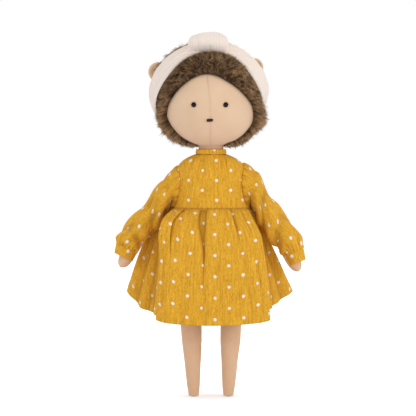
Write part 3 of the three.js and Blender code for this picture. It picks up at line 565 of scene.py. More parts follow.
# Box pleat beside the middle, and the valley that runs down from it.
box_low, box_high = -0.94 + 0.5 * smooth(0, 0.42, down), -0.3 - 0.05 * down
from_low, from_high = (line_at - box_low) * across_mm, (line_at - box_high) * across_mm
box = smooth(-0.4, 0.5, from_low) * smooth(-0.4, 0.5, -from_high)
valley = bell((line_at - 0.5 * (box_low + box_high)) * across_mm, 0, 3.0)
valley = valley * smooth(0.12, 0.4, down) * (1 - 0.6 * down)
bend -= (4.4 * box * bell(down, 0, 0.4) + 2.4 * valley) * below_seam
bend += 0.9 * bell((line_at - box_low + 0.16) * across_mm, 0, 1.3) * below_seam * bell(down, 0, 0.5)
# Painted shade along the box pleat's two edges and inside it.
tuck_and_painted_shade += 0.5 * bell(from_low, 0, 0.9) * below_seam * bell(down, 0, 0.5)
tuck_and_painted_shade += 0.4 * bell(from_high, 0, 0.8) * below_seam * bell(down, 0, 0.3)
tuck_and_painted_shade += 0.25 * box * smooth(0.1, 0.3, down) * bell(down, 0, 0.5)
# Shade beside the front panel, in the waist seam and under the arms.
tuck_and_painted_shade += 0.32 * smooth(4.2, 4.9, line_out) * smooth(6.1, 5.0, line_out) * smooth(0.05, 0.2, down)
tuck_and_painted_shade += 0.4 * bell(down, 0, 0.014)
tuck_and_painted_shade += 0.35 * smooth(3.4, 4.4, line_out) * smooth(9, 7, line_out) * smooth(0.3, 0.04, down)
# Gathers at the waist, broad waves, soft folds down the wings and the panel, and the panel's fold edges.
bend += 0.35 * np.cos(46 * turn + 1.5 * round_ripple(3, turn, 0 * down, 21)) * bell(down, 0, 0.1)
hang = 0.9 * np.cos(11 * turn) * 4 * down * (1 - down)
hang = hang + 1.2 * round_ripple(7, turn, 1.6 * down, 8, 6, 0.7, 1.6) * smooth(0.05, 0.5, down)
bend += hang * (0.6 + 0.6 * smooth(3.4, 6.5, line_out))
# Soft folds: the fold line, depth and width.
soft_folds = [
    (7.25, 3.4, 0.24), (7.75, 2.4, 0.16), (8.2, 2.6, 0.2), (-7.3, 3.4, 0.2), (-7.75, 2.8, 0.16),
    (-8.2, 2.6, 0.2), (-1.4, 0.9, 0.3), (0.5, 0.9, 0.35), (1.9, 0.9, 0.3), (2.7, 0.8, 0.25),
    (-3.0, 0.8, 0.25),
]
# Each soft fold also adds painted shade along its valley.
for middle, deep, wide in soft_folds:
    gap = line_at - middle - 0.12 * np.sin(2.5 * down + middle * 9)
    bend -= deep * smooth(0.12, 0.55, down) * bell(gap, 0, wide)
    tuck_and_painted_shade += 0.12 * deep * smooth(0.12, 0.55, down) * bell(gap, 0, 0.5 * wide)
for middle in (4.0, -4.0):
    gap = (line_at - middle) * np.sign(middle)
    bend += smooth(0.06, 0.25, down) * (0.9 * bell(gap, 0, 0.2) - 0.5 * bell(gap, -0.55, 0.3))
bend += 0.26 * round_ripple(95, turn, 6 * down, 31, 6, 0.7, 1.5)
bend += 0.55 * round_ripple(34, turn, 3.5 * down, 33, 6, 0.7, 1.5) * smooth(0.02, 0.2, down)
# The turned-up hem, HEM deep, with its row of stitches.
steps_down = np.linalg.norm(np.diff(rings, axis=0), axis=-1)
length_down = np.concatenate([np.zeros((1, columns)), np.cumsum(steps_down, axis=0)])
hem_gap = length_down[-1:] - length_down
bend += 0.28 * smooth(8.9, 8.1, hem_gap) - 0.24 * bell(hem_gap, HEM, 0.7)
skirt_rings = rings + outward * bend[..., None]
skirt_gauze = dotted_gauze("dress_gauze_skirt", (20.65, 3.4), 8.7)
skirt = gauze_tube("skirt_gauze", skirt_gauze, skirt_rings, row_uv(skirt_rings, -length_down), tuck_and_painted_shade)
hem_row = int(np.abs(hem_gap.mean(1) - HEM).argmin())


def speckled(name, roughness, scale, detail, low, high, strength, distance, distortion=0.0, **shader):
    """A material whose colour and bump follow one fine noise, at a scale per metre."""
    material, tree, shade = finish(name, roughness, **shader)
    spot = put(tree, "TexCoord").outputs["Object"]
    fleck = noise(tree, spot, scale, detail, Distortion=distortion)
    cover(tree, shade, between(tree, fleck, low, high), fleck, strength, distance)
    return material


def strands(name, material, points, values=None):
    """Closed thin tubes from points by strand, ring and corner."""
    corner = np.arange(points[..., 0].size).reshape(points.shape[:3])
    right = np.roll(corner, -1, axis=2)
    sides = np.stack([corner[:, :-1], right[:, :-1], right[:, 1:], corner[:, 1:]], -1).reshape(-1, 4)
    faces = [sides, corner[:, 0, ::-1], corner[:, -1]]
    return mesh_object(name, material, points.reshape(-1, 3), faces, values=values)


def around(spine, thick, beside, above, corners):
    """Rings of corners round spines, from points by strand and ring, a thickness and two directions."""
    turn = (np.arange(corners) * 2 * pi / corners)[:, None]
    spread = np.cos(turn) * beside[:, :, None] + np.sin(turn) * above[:, :, None]
    return spine[:, :, None] + thick[..., None, None] * spread


thread_gold = speckled("thread_gold", 0.6, 900.0, 2.0, "#B37A14", "#D9A032", 0.4, 0.0001, Sheen_Weight=0.3)


def stitches(name, path, pitch=2.1, long=1.5, thick=0.17, closed=True):
    """A row of machine stitches: short spindles at even steps along the path, each five-sided and pointed."""
    if closed:
        path = np.vstack([path, path[:1]])
    far = np.concatenate([[0], np.cumsum(np.linalg.norm(np.diff(path, axis=0), axis=-1))])
    count = int(far[-1] // pitch)
    middle = (np.arange(count) + 0.5) * far[-1] / count
    reach = [middle + way * long / 2 for way in (-1, 1)]
    start, end = (join(*(np.interp(place, far, axis) for axis in path.T)) for place in reach)
    ahead = unit(end - start)
    sideways = unit(np.cross(ahead, [0.13, 0.21, 1.0]))
    upright = np.cross(sideways, ahead)
    lengths = np.array([0.0, 0.22, 0.78, 1.0])[None, :, None]
    widths = np.array([[0.25, 1.0, 1.0, 0.25]]) * thick
    spine = start[:, None] + (end - start)[:, None] * lengths
    return strands(name, thread_gold, around(spine, widths, sideways[:, None], upright[:, None], 5))


hem_stitches = stitches("skirt_hem_stitches", skirt_rings[hem_row] + outward[hem_row] * 0.12)
for piece in (skirt, hem_stitches):
    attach(piece, "torso")
    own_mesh(piece)
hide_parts("dress_skirt")


# Collar: a narrow binding of the same gauze, folded over the neck edge of the bodice.
COLLAR_LOW, COLLAR_TALL, COLLAR_RADIUS = 199.5, 4.1, 11.9
turn, lean = turns(200)[None, :], turns(28)[:, None]
bulge = squared(np.cos(lean), 0.6)
tuck_and_painted_shade = 0.12 * np.cos(34 * turn) + 0.15 * round_ripple(5, turn, lean, 41)
radius = COLLAR_RADIUS + (0.75 + tuck_and_painted_shade) * bulge - 0.25 * (np.sin(lean) > 0) * np.sin(lean)
height = COLLAR_LOW + COLLAR_TALL * (0.5 + 0.5 * np.sin(lean))
rings = join(radius * np.sin(turn), -radius * np.cos(turn), height)[::-1]
collar_uv = join((turn - 2 * pi * (turn > pi)) * 12.4, height[::-1])
collar_gauze = dotted_gauze("dress_gauze_collar", (-2.6, 3.1))
collar = skin("collar_gauze", collar_gauze, rings, "loop", collar_uv, {"ease": np.ones(rings.shape[:2])})
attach(collar, "torso")
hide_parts("dress_collar")


# Back closing: a folded placket down the bodice's middle back, with two sew-through buttons on it.
def bodice_depth(x, z):
    """How far back the bodice's plain oval is at a side offset x and a height z."""
    wide, deep = bodice_oval(z)
    return deep * np.sqrt(1 - (x / wide) ** 2)


PLACKET_TOP, PLACKET_LONG, PLACKET_HALF_WIDE = 197.4, 34.0, 4.5
height = np.linspace(PLACKET_TOP - PLACKET_LONG, PLACKET_TOP, 110)[:, None]
lean = turns(64)[None, :]
sideways = PLACKET_HALF_WIDE * squared(np.sin(lean), 0.35) + 0 * height
lift = 0.95 + 0.42 * squared(-np.cos(lean), 0.35) + 0.12 * np.sin(height * 0.8) * np.cos(lean)
rings = join(sideways, bodice_depth(sideways, height) + lift, height)
placket_gauze = dotted_gauze("dress_gauze_placket", (10.2, 3.0))
placket_values = {"ease": np.ones(rings.shape[:2])}
placket = skin("placket_gauze", placket_gauze, rings, "pole", join(sideways, height), placket_values)
edge_height = np.linspace(PLACKET_TOP - PLACKET_LONG + 1, PLACKET_TOP - 1, 80)
edge_lines = [join(x, bodice_depth(x, edge_height) + 1.42, edge_height) for x in (-3.6, 3.6)]
placket_stitches = [
    stitches(f"placket_stitches_{n}", line, closed=False) for n, line in enumerate(edge_lines)
]
for piece in (placket, *placket_stitches):
    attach(piece, "torso")
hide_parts("dress_back_placket")

button_shell = speckled("button_shell", 0.28, 420.0, 3.0, "#E6D6BA", "#F8F1E2", 0.08, 0.0002, 1.5,
                        Coat_Weight=0.4, Coat_Roughness=0.2)
button_rows = [
    (0, 0.2), (0.05, 2.2), (0.2, 2.8), (0.45, 3.0), (0.7, 2.95), (0.86, 2.7), (0.93, 2.3), (0.98, 1.9),
    (1.0, 1.5),
]
for name, height in (("upper", 190.4), ("lower", 175.4)):
    share, turn = grid(48, 56)
    radius = through(button_rows, share)[..., 0]
    a, b = radius * np.sin(turn), radius * np.cos(turn)
    holes = sum(np.exp(-((a - p) ** 2 + (b - q) ** 2) / 0.12) for p in (-0.7, 0.7) for q in (-0.7, 0.7))
    depth = 1.4 * np.minimum(share * 1.15, 1) - 0.45 * smooth(0.9, 1, share) - 0.5 * holes * (share > 0.9)
    slope = float(bodice_depth(0.0, height - 1.0) - bodice_depth(0.0, height + 1.0)) / 2
    middle = np.array([0, float(bodice_depth(0.0, height)) + 1.5, height])
    facing = np.array([0, 1, slope]) / np.hypot(1, slope)
    upright = np.array([0, -slope, 1]) / np.hypot(1, slope)
    rings = a[..., None] * TO_LEFT + b[..., None] * upright + depth[..., None] * facing + middle
    button = skin(f"button_{name}", button_shell, rings)
    ways = [0.75 * TO_LEFT + up * upright for up in (0.75, -0.75)]
    cross = [np.array([way, -way]) + 1.05 * facing + middle for way in ways]
    threads = [
        stitches(f"button_{name}_thread_{n}", line, 1.9, 1.9, 0.2, False) for n, line in enumerate(cross)
    ]
    for piece in (button, *threads):
        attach(piece, "torso")
    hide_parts(f"dress_button_{name}")


# Arms: narrow tubes of jersey with a plain rounded hand, stuffed lightly, flat where the shoulder seam
# holds them. Only the hands show below the cuffs.
fibre = speckled("stuffing_fibre", 1.0, 260.0, 6.0, "#DAD6CE", "#FAF8F4", 0.8, 0.001, 2.0, Sheen_Weight=0.3)
arm_rows = [
    (0, 0.6), (0.012, 2.6), (0.05, 4.4), (0.14, 5.6), (0.4, 6.6), (0.7, 6.2), (0.82, 5.9), (0.88, 5.75),
    (0.93, 5.1), (0.965, 3.9), (0.99, 2.0), (1, 0.5),
]
ARM_WALL = 1.2
arm_lines = {
    "left": (np.array([35.5, 0, 172.0]), np.array([72.3, 0, 103.2])),
    "right": (np.array([-35.5, 0, 171.5]), np.array([-74.6, 0, 106.6])),
}


def arm_rings(centre, beside, turn, wide, deep):
    """Oval rings along an arm, from its middle line."""
    rings = centre + (wide * np.sin(turn))[..., None] * beside
    return rings + (-deep * np.cos(turn))[..., None] * TO_BACK


for name, (start, end) in arm_lines.items():
    share, turn = grid(120, 60)
    length = np.linalg.norm(end - start)
    ahead = (end - start) / length
    beside = np.cross(TO_BACK, ahead)
    radius = through(arm_rows, share)[..., 0] + 0.12 * round_ripple(3, turn, 20 * share, 51, 4)
    deep = radius * (0.5 + 0.5 * smooth(0, 0.25, share))
    centre = start + share[..., None] * length * ahead
    rings = arm_rings(centre, beside, turn, radius, deep)
    arm = skin(f"arm_{name}_jersey", limb_jersey, rings, uv=ring_uv(rings, share * length))
    inner = arm_rings(centre, beside, turn, (radius - ARM_WALL).clip(0.2), (deep - ARM_WALL).clip(0.2))
    core = skin(f"arm_{name}_fibre", fibre, inner[4:-4])
    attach(arm, f"arm_{name}")
    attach(core, f"arm_{name}")
    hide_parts(f"arm_{name}_skin")
    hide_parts(f"arm_{name}_stuffing")


# Sleeves: full tubes of dotted gauze set into the armholes, with small puckers along the seam and the
# fullness gathered into the cuff. At the shoulder the cloth is drawn in to the bodice's armhole, and from
# there it runs down the arm.
sleeve_lines = {
    "left": ([(28.0, 190.6), (33.4, 187.4), (38.8, 182.0), (43.6, 173.0), (49.6, 163.0), (57.8, 152.6),
              (66.8, 141.0), (72.6, 129.6), (75.2, 122.0)],
             [(29.5, 158.0), (32.8, 154.4), (37.0, 147.6), (41.0, 140.6), (45.0, 133.6), (49.8, 127.6),
              (54.8, 122.6), (58.8, 118.4), (60.9, 116.2)]),
    "right": ([(-28.0, 189.4), (-33.5, 184.6), (-39.5, 177.6), (-46.8, 168.0), (-55.2, 157.4), (-64.2, 147.0),
               (-71.8, 138.2), (-76.2, 130.4), (-77.1, 126.2)],
              [(-29.5, 158.0), (-33.5, 154.2), (-38.6, 147.2), (-43.5, 140.5), (-48.5, 135), (-53, 129.9),
               (-56.9, 125.6), (-60.2, 121.8), (-61.6, 119.6)]),
}
sleeve_deep = [(0, 8.6), (0.08, 9.8), (0.22, 11.2), (0.5, 11.3), (0.75, 11.0), (0.9, 9.6), (1, 8.4)]
SLEEVE_RADIUS = 10.5
CUFF_LONG, CUFF_WALL, CUFF_STITCH_ROW = 8.3, 0.9, 37
cuff_lines = {"left": ((76.9, 112.9), (65.0, 108.4)), "right": ((-78.5, 118.2), (-65.3, 112.2))}
sleeve_cloth = {"left": (5.0, 3.5), "right": (-6.5, 1.2)}


def tube_rings(outer, inner, deep, turn, shape):
    """The x, y and z of rings between an outer and an inner line in one upright plane, scaled by a shape."""
    middle, reach = (outer + inner) / 2, (outer - inner) / 2
    out = np.cos(turn)
    x = middle[..., 0] + reach[..., 0] * out * shape
    z = middle[..., 1] + reach[..., 1] * out * shape
    return x, -deep * np.sin(turn) * shape, z


for name, (outer, inner) in sleeve_lines.items():
    hand = 1 if name == "left" else -1
    steps = np.linspace(0, 1, len(outer))
    share, turn = grid(120, 230)
    outer_line, inner_line = (through(np.column_stack([steps, line]), share) for line in (outer, inner))
    deep = through(sleeve_deep, share)[..., 0]
    out, front = np.cos(turn), np.sin(turn)
    lobes = round_ripple(4, turn, 11 * share, 61 + hand, 6, 0.7, 1.5) * 1.35 * smooth(0, 0.15, share)
    wander = 1.9 * front + 0.6 * out + 1.2 * round_ripple(2, turn, 5 * share, 69)
    diagonal = 1.25 * np.sin(2 * pi * (3.6 * share + hand * 0.1) + wander)
    diagonal = diagonal * smooth(0.1, 0.3, share) * smooth(0.98, 0.8, share)
    armpit = (-2.0 * bell(share - 0.13 + 0.03 * front, 0, 0.03) * smooth(0.2, -0.9, out)
              - 1.6 * bell(share, 0.24, 0.03) * smooth(-0.2, -1.0, out))
    ruche = 0.75 * np.cos(19 * turn + 2.2 * round_ripple(2, turn, 3 * share, 63 + hand))
    ruche = (ruche + 0.3 * np.cos(31 * turn)) * smooth(0.78, 0.97, share)
    puff = 0.9 * bell(share, 0.86, 0.07) - 0.3 * smooth(0.97, 1, share)
    gathered = (np.cos(17 * turn + 3.5 * round_ripple(3, turn, 0 * share, 65))
                + 0.7 * np.cos(26 * turn + 3 * round_ripple(2, turn, 0 * share, 66)))
    pucker = 0.5 * gathered * bell(share, 0.03, 0.06)
    groove = 0.9 * bell(share, 0.055, 0.03) - 1.7 * bell(share, 0.01, 0.014)
    fine = 0.14 * round_ripple(34, turn, 6 * share, 67 + hand, 6, 0.7, 1.5)
    swell = 1 + (lobes + diagonal + armpit + ruche + puff + pucker + groove + fine) / SLEEVE_RADIUS
    x, y, z = tube_rings(outer_line, inner_line, deep, turn, swell)
    hole_wide, hole_deep = bodice_oval(z)
    armhole = hand * (hole_wide * np.sqrt(np.clip(1 - (y / hole_deep) ** 2, 0.02, 1)) - 0.6)
    hold = smooth(0.11, 0.0, share)
    rings = join(x * (1 - hold) + armhole * hold, y, z)
    # Painted shade in the armhole seam, the armpit, the deepest folds and the gathers at the shoulder.
    tuck_and_painted_shade = (0.8 * bell(share, 0.008, 0.02) + 0.65 * bell(share, 0.14, 0.1) * smooth(0.1, -0.8, out)
            + 0.3 * smooth(-0.5, -1.3, diagonal + lobes))
    tuck_and_painted_shade = tuck_and_painted_shade + 0.4 * smooth(-0.1, -1.2, gathered) * bell(share, 0.03, 0.035)
    if hand > 0:
        rings, tuck_and_painted_shade = rings[:, ::-1], tuck_and_painted_shade[:, ::-1]
    along = np.linalg.norm(np.diff(rings, axis=0), axis=-1).mean(axis=1, keepdims=True)
    uv = row_uv(rings, np.concatenate([0 * along[:1], np.cumsum(along, axis=0)]))
    sleeve_gauze = dotted_gauze(f"dress_gauze_sleeve_{name}", sleeve_cloth[name])
    sleeve = gauze_tube(f"sleeve_{name}_gauze", sleeve_gauze, rings, uv, tuck_and_painted_shade)
    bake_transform(sleeve)
    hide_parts(f"sleeve_{name}")

    # Cuff: a straight band that the gathers are sewn into, turned under at the wrist.
    share, turn = grid(44, 200)
    ends = zip((outer_line[-1, 0], inner_line[-1, 0]), cuff_lines[name])
    outer_edge, inner_edge = (top + (np.array(low) - top) * share[..., None] for top, low in ends)
    puckers = 0.22 * np.cos(21 * turn) * smooth(0.25, 0, share)
    puckers = puckers + 0.16 * round_ripple(6, turn, 4 * share, 71 + hand)
    shape = 1 + (puckers - 0.35 * bell(share, 0, 0.05) + 0.2 * smooth(0.1, 0.3, share)) / 8
    rings = join(*tube_rings(outer_edge, inner_edge, 8.3 - 1.1 * share, turn, shape))
    if hand > 0:
        rings = rings[:, ::-1]
    uv = twice(ring_uv(rings, CUFF_LONG * share))
    cuff_gauze = dotted_gauze(f"dress_gauze_cuff_{name}", (4.0 * hand, 2.0))
    cuff_values = {"ease": twice(np.ones(rings.shape[:2]))}
    cuff = skin(f"cuff_{name}_gauze", cuff_gauze, walled(rings, CUFF_WALL), "loop", uv, cuff_values)
    seam_line = rings[CUFF_STITCH_ROW]
    seam_line = seam_line + 0.08 * (seam_line - seam_line.mean(0)) / 8
    seam = stitches(f"cuff_{name}_stitches", seam_line, 1.9, 1.35, 0.15)
    for piece in (cuff, seam):
        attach(piece, f"arm_{name}")
    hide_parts(f"cuff_{name}")


# Neck: a short tube of face cotton, stuffed hard. It sits in the torso's top and runs up into the head.
face_cotton, tree, shade = finish("face_cotton", 0.9, Sheen_Weight=0.2, Sheen_Roughness=0.5)
cloth = cloth_place(tree)
threads = use(tree, weave, {"Cloth": cloth, "Thread": 0.42, "Unevenness": 0.7})
warm = between(tree, noise(tree, cloth, 0.05, 2.0), "#DBB795", "#E4C6A8")
# Darker where stored: the face's seam line, and painted shade over the whole neck.
warm = between(tree, stored(tree, "dark_seam_and_painted_shade"), warm, "#B0825F")
cover(tree, shade, warm, threads["Height"], 0.3, 0.00018)

NECK_LOW, NECK_TALL = 188.1, 23.9
neck_rows = [
    (0, 0.5), (0.02, 3.4), (0.08, 6.6), (0.18, 9.2), (0.3, 10.5), (0.42, 10.6), (0.52, 10.2),
    (0.64, 10.0), (0.8, 10.6), (0.93, 10.3), (1, 9.4),
]
share, turn = grid(90, 96)
radius = through(neck_rows, share)[..., 0]
radius = radius + 0.1 * round_ripple(6, turn, 12 * share, 81) * smooth(0.4, 0.6, share)
rings = join(radius * np.sin(turn), -radius * np.cos(turn), NECK_LOW + NECK_TALL * share)
# Painted shade: the whole neck is darkened, as if in the shadow of the chin and the fur.
neck_values = {"dark_seam_and_painted_shade": np.full(rings.shape[:2], 0.55)}
neck = skin("neck_cotton", face_cotton, rings, uv=ring_uv(rings, rings[..., 2]), values=neck_values)
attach(neck, "neck")
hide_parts("neck_skin")


# Face: two panels of face cotton joined by a seam down the middle, stuffed to a smooth full egg. The
# outer edge is sewn into the pile fabric and pulls in a little there.
HEAD_Z, HEAD_W, HEAD_D, HEAD_H, FULL = 247.2, 41.0, 39.0, 41.2, 2.15
CHIN, FACE_W, FACE_TALL, MIDDLE_Z = 206.0, 35.8, 60.5, 234.0
FACE_REACH = 0.965  # how far round the head the face may go, as a share of the head's half width


def head_radius(z):
    """The head's half width at a height: w (1 - |rise|^p)^(1/p)."""
    rise = np.minimum(np.abs(z - HEAD_Z) / HEAD_H, 1)
    return HEAD_W * (1 - rise ** FULL) ** (1 / FULL)


outline = [
    (0, 1), (0.14, 0.988), (0.285, 0.957), (0.455, 0.9), (0.585, 0.846), (0.69, 0.792), (0.775, 0.738),
    (0.85, 0.682), (0.918, 0.625), (0.975, 0.56), (1.005, 0.48), (1.012, 0.41), (0.998, 0.35),
    (0.966, 0.295), (0.915, 0.24), (0.85, 0.187), (0.76, 0.133), (0.642, 0.085), (0.48, 0.048),
    (0.37, 0.022), (0.31, -0.01), (0.0, -0.01),
]
outline_x, outline_z = np.array(outline).T * np.array([[FACE_W], [FACE_TALL]])
outline_z = CHIN + outline_z
outline_angle = np.arctan2(outline_x, outline_z - MIDDLE_Z)
outline_angle[-1] = pi
outline_reach = np.hypot(outline_x, outline_z - MIDDLE_Z)


def face_edge(angle):
    """How far the face's outline is from the middle of the face, by the angle from straight up."""
    return through(np.column_stack([outline_angle, outline_reach]), np.abs(angle))[..., 0]


def face_shift(z):
    """The face sits a little to its right, further at the top: x shift = -0.7 - 2.8 s, s eased in height."""
    return -0.7 - 2.8 * smooth(236, 272, z)


def mirrored(values):
    """The values that go with a panel's two layers: each row, then the same row in reverse."""
    return np.concatenate([values, values[:, ::-1]], axis=1)


for name, hand in (("left", 1), ("right", -1)):
    angle = hand * np.linspace(0, pi, 130)[:, None]
    share = np.linspace(0, 1, 120)[None, :] ** 0.9
    reach = face_edge(angle) * share
    across, z = reach * np.sin(angle), MIDDLE_Z + reach * np.cos(angle)
    z = np.maximum(z, CHIN + 0.25)
    r = head_radius(z)
    x = np.clip(across + face_shift(z), -FACE_REACH * r, FACE_REACH * r)
    y = -HEAD_D / HEAD_W * np.sqrt(np.clip(r ** 2 - x ** 2, 0.2, None))
    gap = (1 - share) * face_edge(angle)
    tuck_and_painted_shade = 1.4 * bell(gap, 0, 1.6) + 0.15 * bell(gap, 0, 4.5)
    groove = 0.18 * bell(across, 0, 0.5) + 0.2 * bell(across, 0, 3.0)
    draw_in = 0.06 * np.sin(z * 2.4) * bell(np.abs(across), 1.3, 1.2)  # the seam's stitches
    dimple = sum(0.45 * np.exp(-((x - a) ** 2 + (z - 240.3) ** 2) / 8.0) for a in (-14.1, 11.9))
    y = y + (tuck_and_painted_shade + groove + dimple + draw_in) * smooth(CHIN, CHIN + 3, z)
    y = y + 0.25 * ripple(x * 0.12, z * 0.12, 91)
    surface = join(x, y, z)
    inner = surface + join(0, 0.8 * smooth(CHIN - 1, CHIN + 5, z), 0.5 * smooth(CHIN + 5, CHIN - 1, z))
    rows = np.concatenate([surface, inner[:, ::-1]], axis=1)
    uv = mirrored(join(x, z))
    seam = mirrored(0.12 * bell(across, 0, 0.4) + 0.06 * bell(across, 0, 1.6))
    if hand < 0:
        rows, uv, seam = rows[:, ::-1], uv[:, ::-1], seam[:, ::-1]
    panel = skin(f"face_{name}", face_cotton, rows, uv=uv, values={"dark_seam_and_painted_shade": seam})
    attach(panel, "head")
    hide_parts(f"face_panel_{name}")


# Eyes: glossy black beads on stems, pushed through the face and held by a washer inside.
bead_black, tree, shade = finish("bead_black", 0.08, Specular_IOR_Level=0.16)
haze = noise(tree, put(tree, "TexCoord").outputs["Object"], 500.0, 2.0)
tree.links.new(ranged(tree, haze, to_low=0.05, to_high=0.14), shade.inputs["Roughness"])
cover(tree, shade, between(tree, haze, "#050507", "#0B0B0E"))
EYE_Z, EYE_OUT, EYE_SHIFT = 240.4, 13.0, -1.1
bead_rows = [
    (0, 0.15), (0.03, 1.4), (0.08, 1.9), (0.16, 2.05), (0.26, 2.13), (0.42, 2.05), (0.58, 1.82),
    (0.74, 1.45), (0.88, 0.9), (0.97, 0.4), (1, 0.1),
]


def on_face(x, z):
    """The point of the plain head at a side offset and a height."""
    return np.array([x, -HEAD_D / HEAD_W * np.sqrt(head_radius(z) ** 2 - x ** 2), z])


for name, hand in (("left", 1), ("right", -1)):
    x, z = hand * EYE_OUT + EYE_SHIFT, EYE_Z
    across = on_face(x + 0.5, z) - on_face(x - 0.5, z)
    facing = unit(np.cross(across, on_face(x, z + 0.5) - on_face(x, z - 0.5)))
    across = unit(across)
    upright = np.cross(facing, across)
    share, turn = grid(40, 48)
    radius = through(bead_rows, share)[..., 0] * (1 + 0.01 * np.sin(2 * turn))
    rings = (on_face(x, z) + (radius * np.cos(turn))[..., None] * across
             + (radius * np.sin(turn))[..., None] * upright + (-0.45 + 2.2 * share)[..., None] * facing)
    bead = skin(f"eye_bead_{name}", bead_black, rings)
    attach(bead, "head")
    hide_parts(f"eye_{name}")


# Nose: a small bar of satin stitch in dark thread, laid side by side over the face seam.
nose_thread, tree, shade = finish("nose_thread", 0.7, Specular_IOR_Level=0.3)
strand = stretched_noise(tree, put(tree, "TexCoord").outputs["Object"], (3000.0, 400.0, 500.0), 2.0)
cover(tree, shade, between(tree, strand, "#240B0F", "#3E1F22"), strand, 0.5, 0.0001)
NOSE_Z, NOSE_HALF_WIDE, NOSE_SHIFT = 227.8, 2.25, -1.05
nose_y = -HEAD_D / HEAD_W * float(head_radius(np.array(NOSE_Z)))
share, turn = grid(14, 8)
thick = 0.3 * np.sqrt(np.clip(1 - (2 * share - 1) ** 6, 0.02, 1))
nose_rings = []
for n, x in enumerate(np.linspace(-NOSE_HALF_WIDE, NOSE_HALF_WIDE, 12)):
    tall = 1.2 * np.sqrt(max(1 - (x / 2.9) ** 4, 0.1)) + 0.08 * np.sin(n * 2.4)
    thread_x = x + NOSE_SHIFT + 0.05 * np.sin(n * 1.7)
    thread_y = nose_y - 0.55 - 0.45 * np.sin(pi * share) ** 0.6 + 0.03 * x * x
    thread_z = NOSE_Z + 0.05 * x - tall * np.cos(pi * share)
    nose_rings.append(join(thread_x + thick * np.sin(turn), thread_y - thick * np.cos(turn), thread_z))
nose = strands("nose_satin", nose_thread, np.stack(nose_rings))
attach(nose, "head")
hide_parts("nose_stitch")


# Pile fabric: two panels with a seam down the back of the head. The knitted backing is drawn over the
# head, and its long hairs are brushed outwards and down, away from the face.
pile_backing = speckled("pile_backing", 1.0, 600.0, 4.0, "#3A2A1C", "#6A5138", 0.8, 0.0005)


def past_face(x, y, z):
    """How far points are outside the face's outline, seen from the front. Points on the back are far."""
    across = x - face_shift(z)
    gap = np.hypot(across, z - MIDDLE_Z) - face_edge(np.arctan2(across, z - MIDDLE_Z))
    gap = np.maximum(gap, np.abs(x) - FACE_REACH * head_radius(z))
    return np.where(y < 0, gap, 99.0)


for name, hand in (("left", 1), ("right", -1)):
    rise = np.linspace(-0.992, 0.999, 100)[:, None]
    way = np.linspace(0, pi, 100)[None, :]
    z = HEAD_Z + HEAD_H * np.sin(rise * pi / 2) + 0 * way
    r = head_radius(z)
    x, y = hand * r * np.sin(way), -HEAD_D / HEAD_W * r * np.cos(way)
    grow = -1.8 + 2.1 * smooth(-1.6, 0.3, past_face(x, y, z))
    radial = unit(join(x, y, z - HEAD_Z))
    surface = join(x, y, z) + radial * grow[..., None]
    rows = np.concatenate([surface, (surface - radial * 0.5)[:, ::-1]], axis=1)
    if hand < 0:
        rows = rows[:, ::-1]
    backing = skin(f"pile_backing_{name}", pile_backing, rows)
    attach(backing, "head")
    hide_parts(f"pile_panel_{name}")

pile_hair, tree, shade = finish("pile_hair", 0.8)
# The share up each hair and the hair's tone carry the fur's own dark roots, light tips and uneven tone, and
# also painted light near the face's lower edge.
way_up_and_painted_light = stored(tree, "way_up_and_painted_light")
lower = between(tree, ranged(tree, way_up_and_painted_light, 0.0, 0.6), "#22160C", "#8E6B47")
whole = between(tree, ranged(tree, way_up_and_painted_light, 0.55, 1.0), lower, "#D4AE83")
tint = between(tree, stored(tree, "tone"), "#54483B", "#FFFAF0")
multiplied = between(tree, 1.0, whole, tint, blend_type="MULTIPLY")
cover(tree, shade, multiplied)

# The headband's place, which the hairs are pressed under: a ring in a plane that leans to the front.
BAND_TILT = np.radians(25)
band_middle = np.array([0, 2.5, 247.5])
band_back = np.array([0, np.cos(BAND_TILT), np.sin(BAND_TILT)])
band_up = np.array([0, -np.sin(BAND_TILT), np.cos(BAND_TILT)])
BAND_X, BAND_Z = 48.6, 44.0
band_front_rows = [
    (-1, 5), (-0.6, 6), (-0.35, 9.5), (-0.15, 14.5), (0.15, 17.5), (0.5, 18), (0.707, 15.8), (0.85, 12),
    (0.95, 9), (1, 7.5),
]
band_back_rows = [(-1, 5), (-0.5, 8), (0.1, 8.5), (0.5, 9.5), (0.8, 9.5), (1, 7.5)]


def band_edges(turn):
    """How far the headband reaches to the front and to the back of its middle line."""
    return (through(rows, np.cos(turn))[..., 0] for rows in (band_front_rows, band_back_rows))


def band_radius(turn, across):
    """The headband's inner radius in its own plane: an oval that draws in to either side of the middle."""
    half_wide = BAND_X - 1.6 - 1.6 * np.sign(np.sin(turn)) * smooth(0.1, 0.7, np.abs(np.sin(turn)))
    oval = 1 / np.sqrt((np.sin(turn) / half_wide) ** 2 + (np.cos(turn) / BAND_Z) ** 2)
    closer = smooth(0.0, 0.5, np.sin(turn))
    oval = oval * (1 - (0.07 + 0.035 * closer) * bell(np.cos(turn) + 0.45 - 0.12 * closer, 0, 0.3))
    return oval * np.sqrt(np.clip(1 - (across / 46.0) ** 2, 0.05, 1))


def from_band(side, up, across):
    """Points from places in the headband's own plane and across it."""
    in_plane = band_middle + side[..., None] * TO_LEFT + up[..., None] * band_up
    return in_plane + across[..., None] * band_back


def pressed(points):
    """Moves hair in the headband's way to just under it. Low at the sides, hair in front stays over it."""
    local = points - band_middle
    side, up, across = local[..., 0], local @ band_up, local @ band_back
    turn = np.arctan2(side, up)
    far = np.hypot(side, up)
    front, back = (edge + 0.9 for edge in band_edges(turn))
    limit = band_radius(turn, np.clip(across, -front, back)) - 0.5
    limit = limit + 6.5 * smooth(0, 6.5, -front - across) + 5 * smooth(0, 5, across - back)
    over = (np.cos(turn) < np.where(side > 0, 0.05, -0.22)) & (across[:, :1] < -front[:, :1])
    under = (across > -front - 6.5) & (across < back + 5) & (far > limit) & ~over
    scale = np.where(under, limit / np.maximum(far, 1e-6), 1.0)
    return from_band(side * scale, up * scale, across)


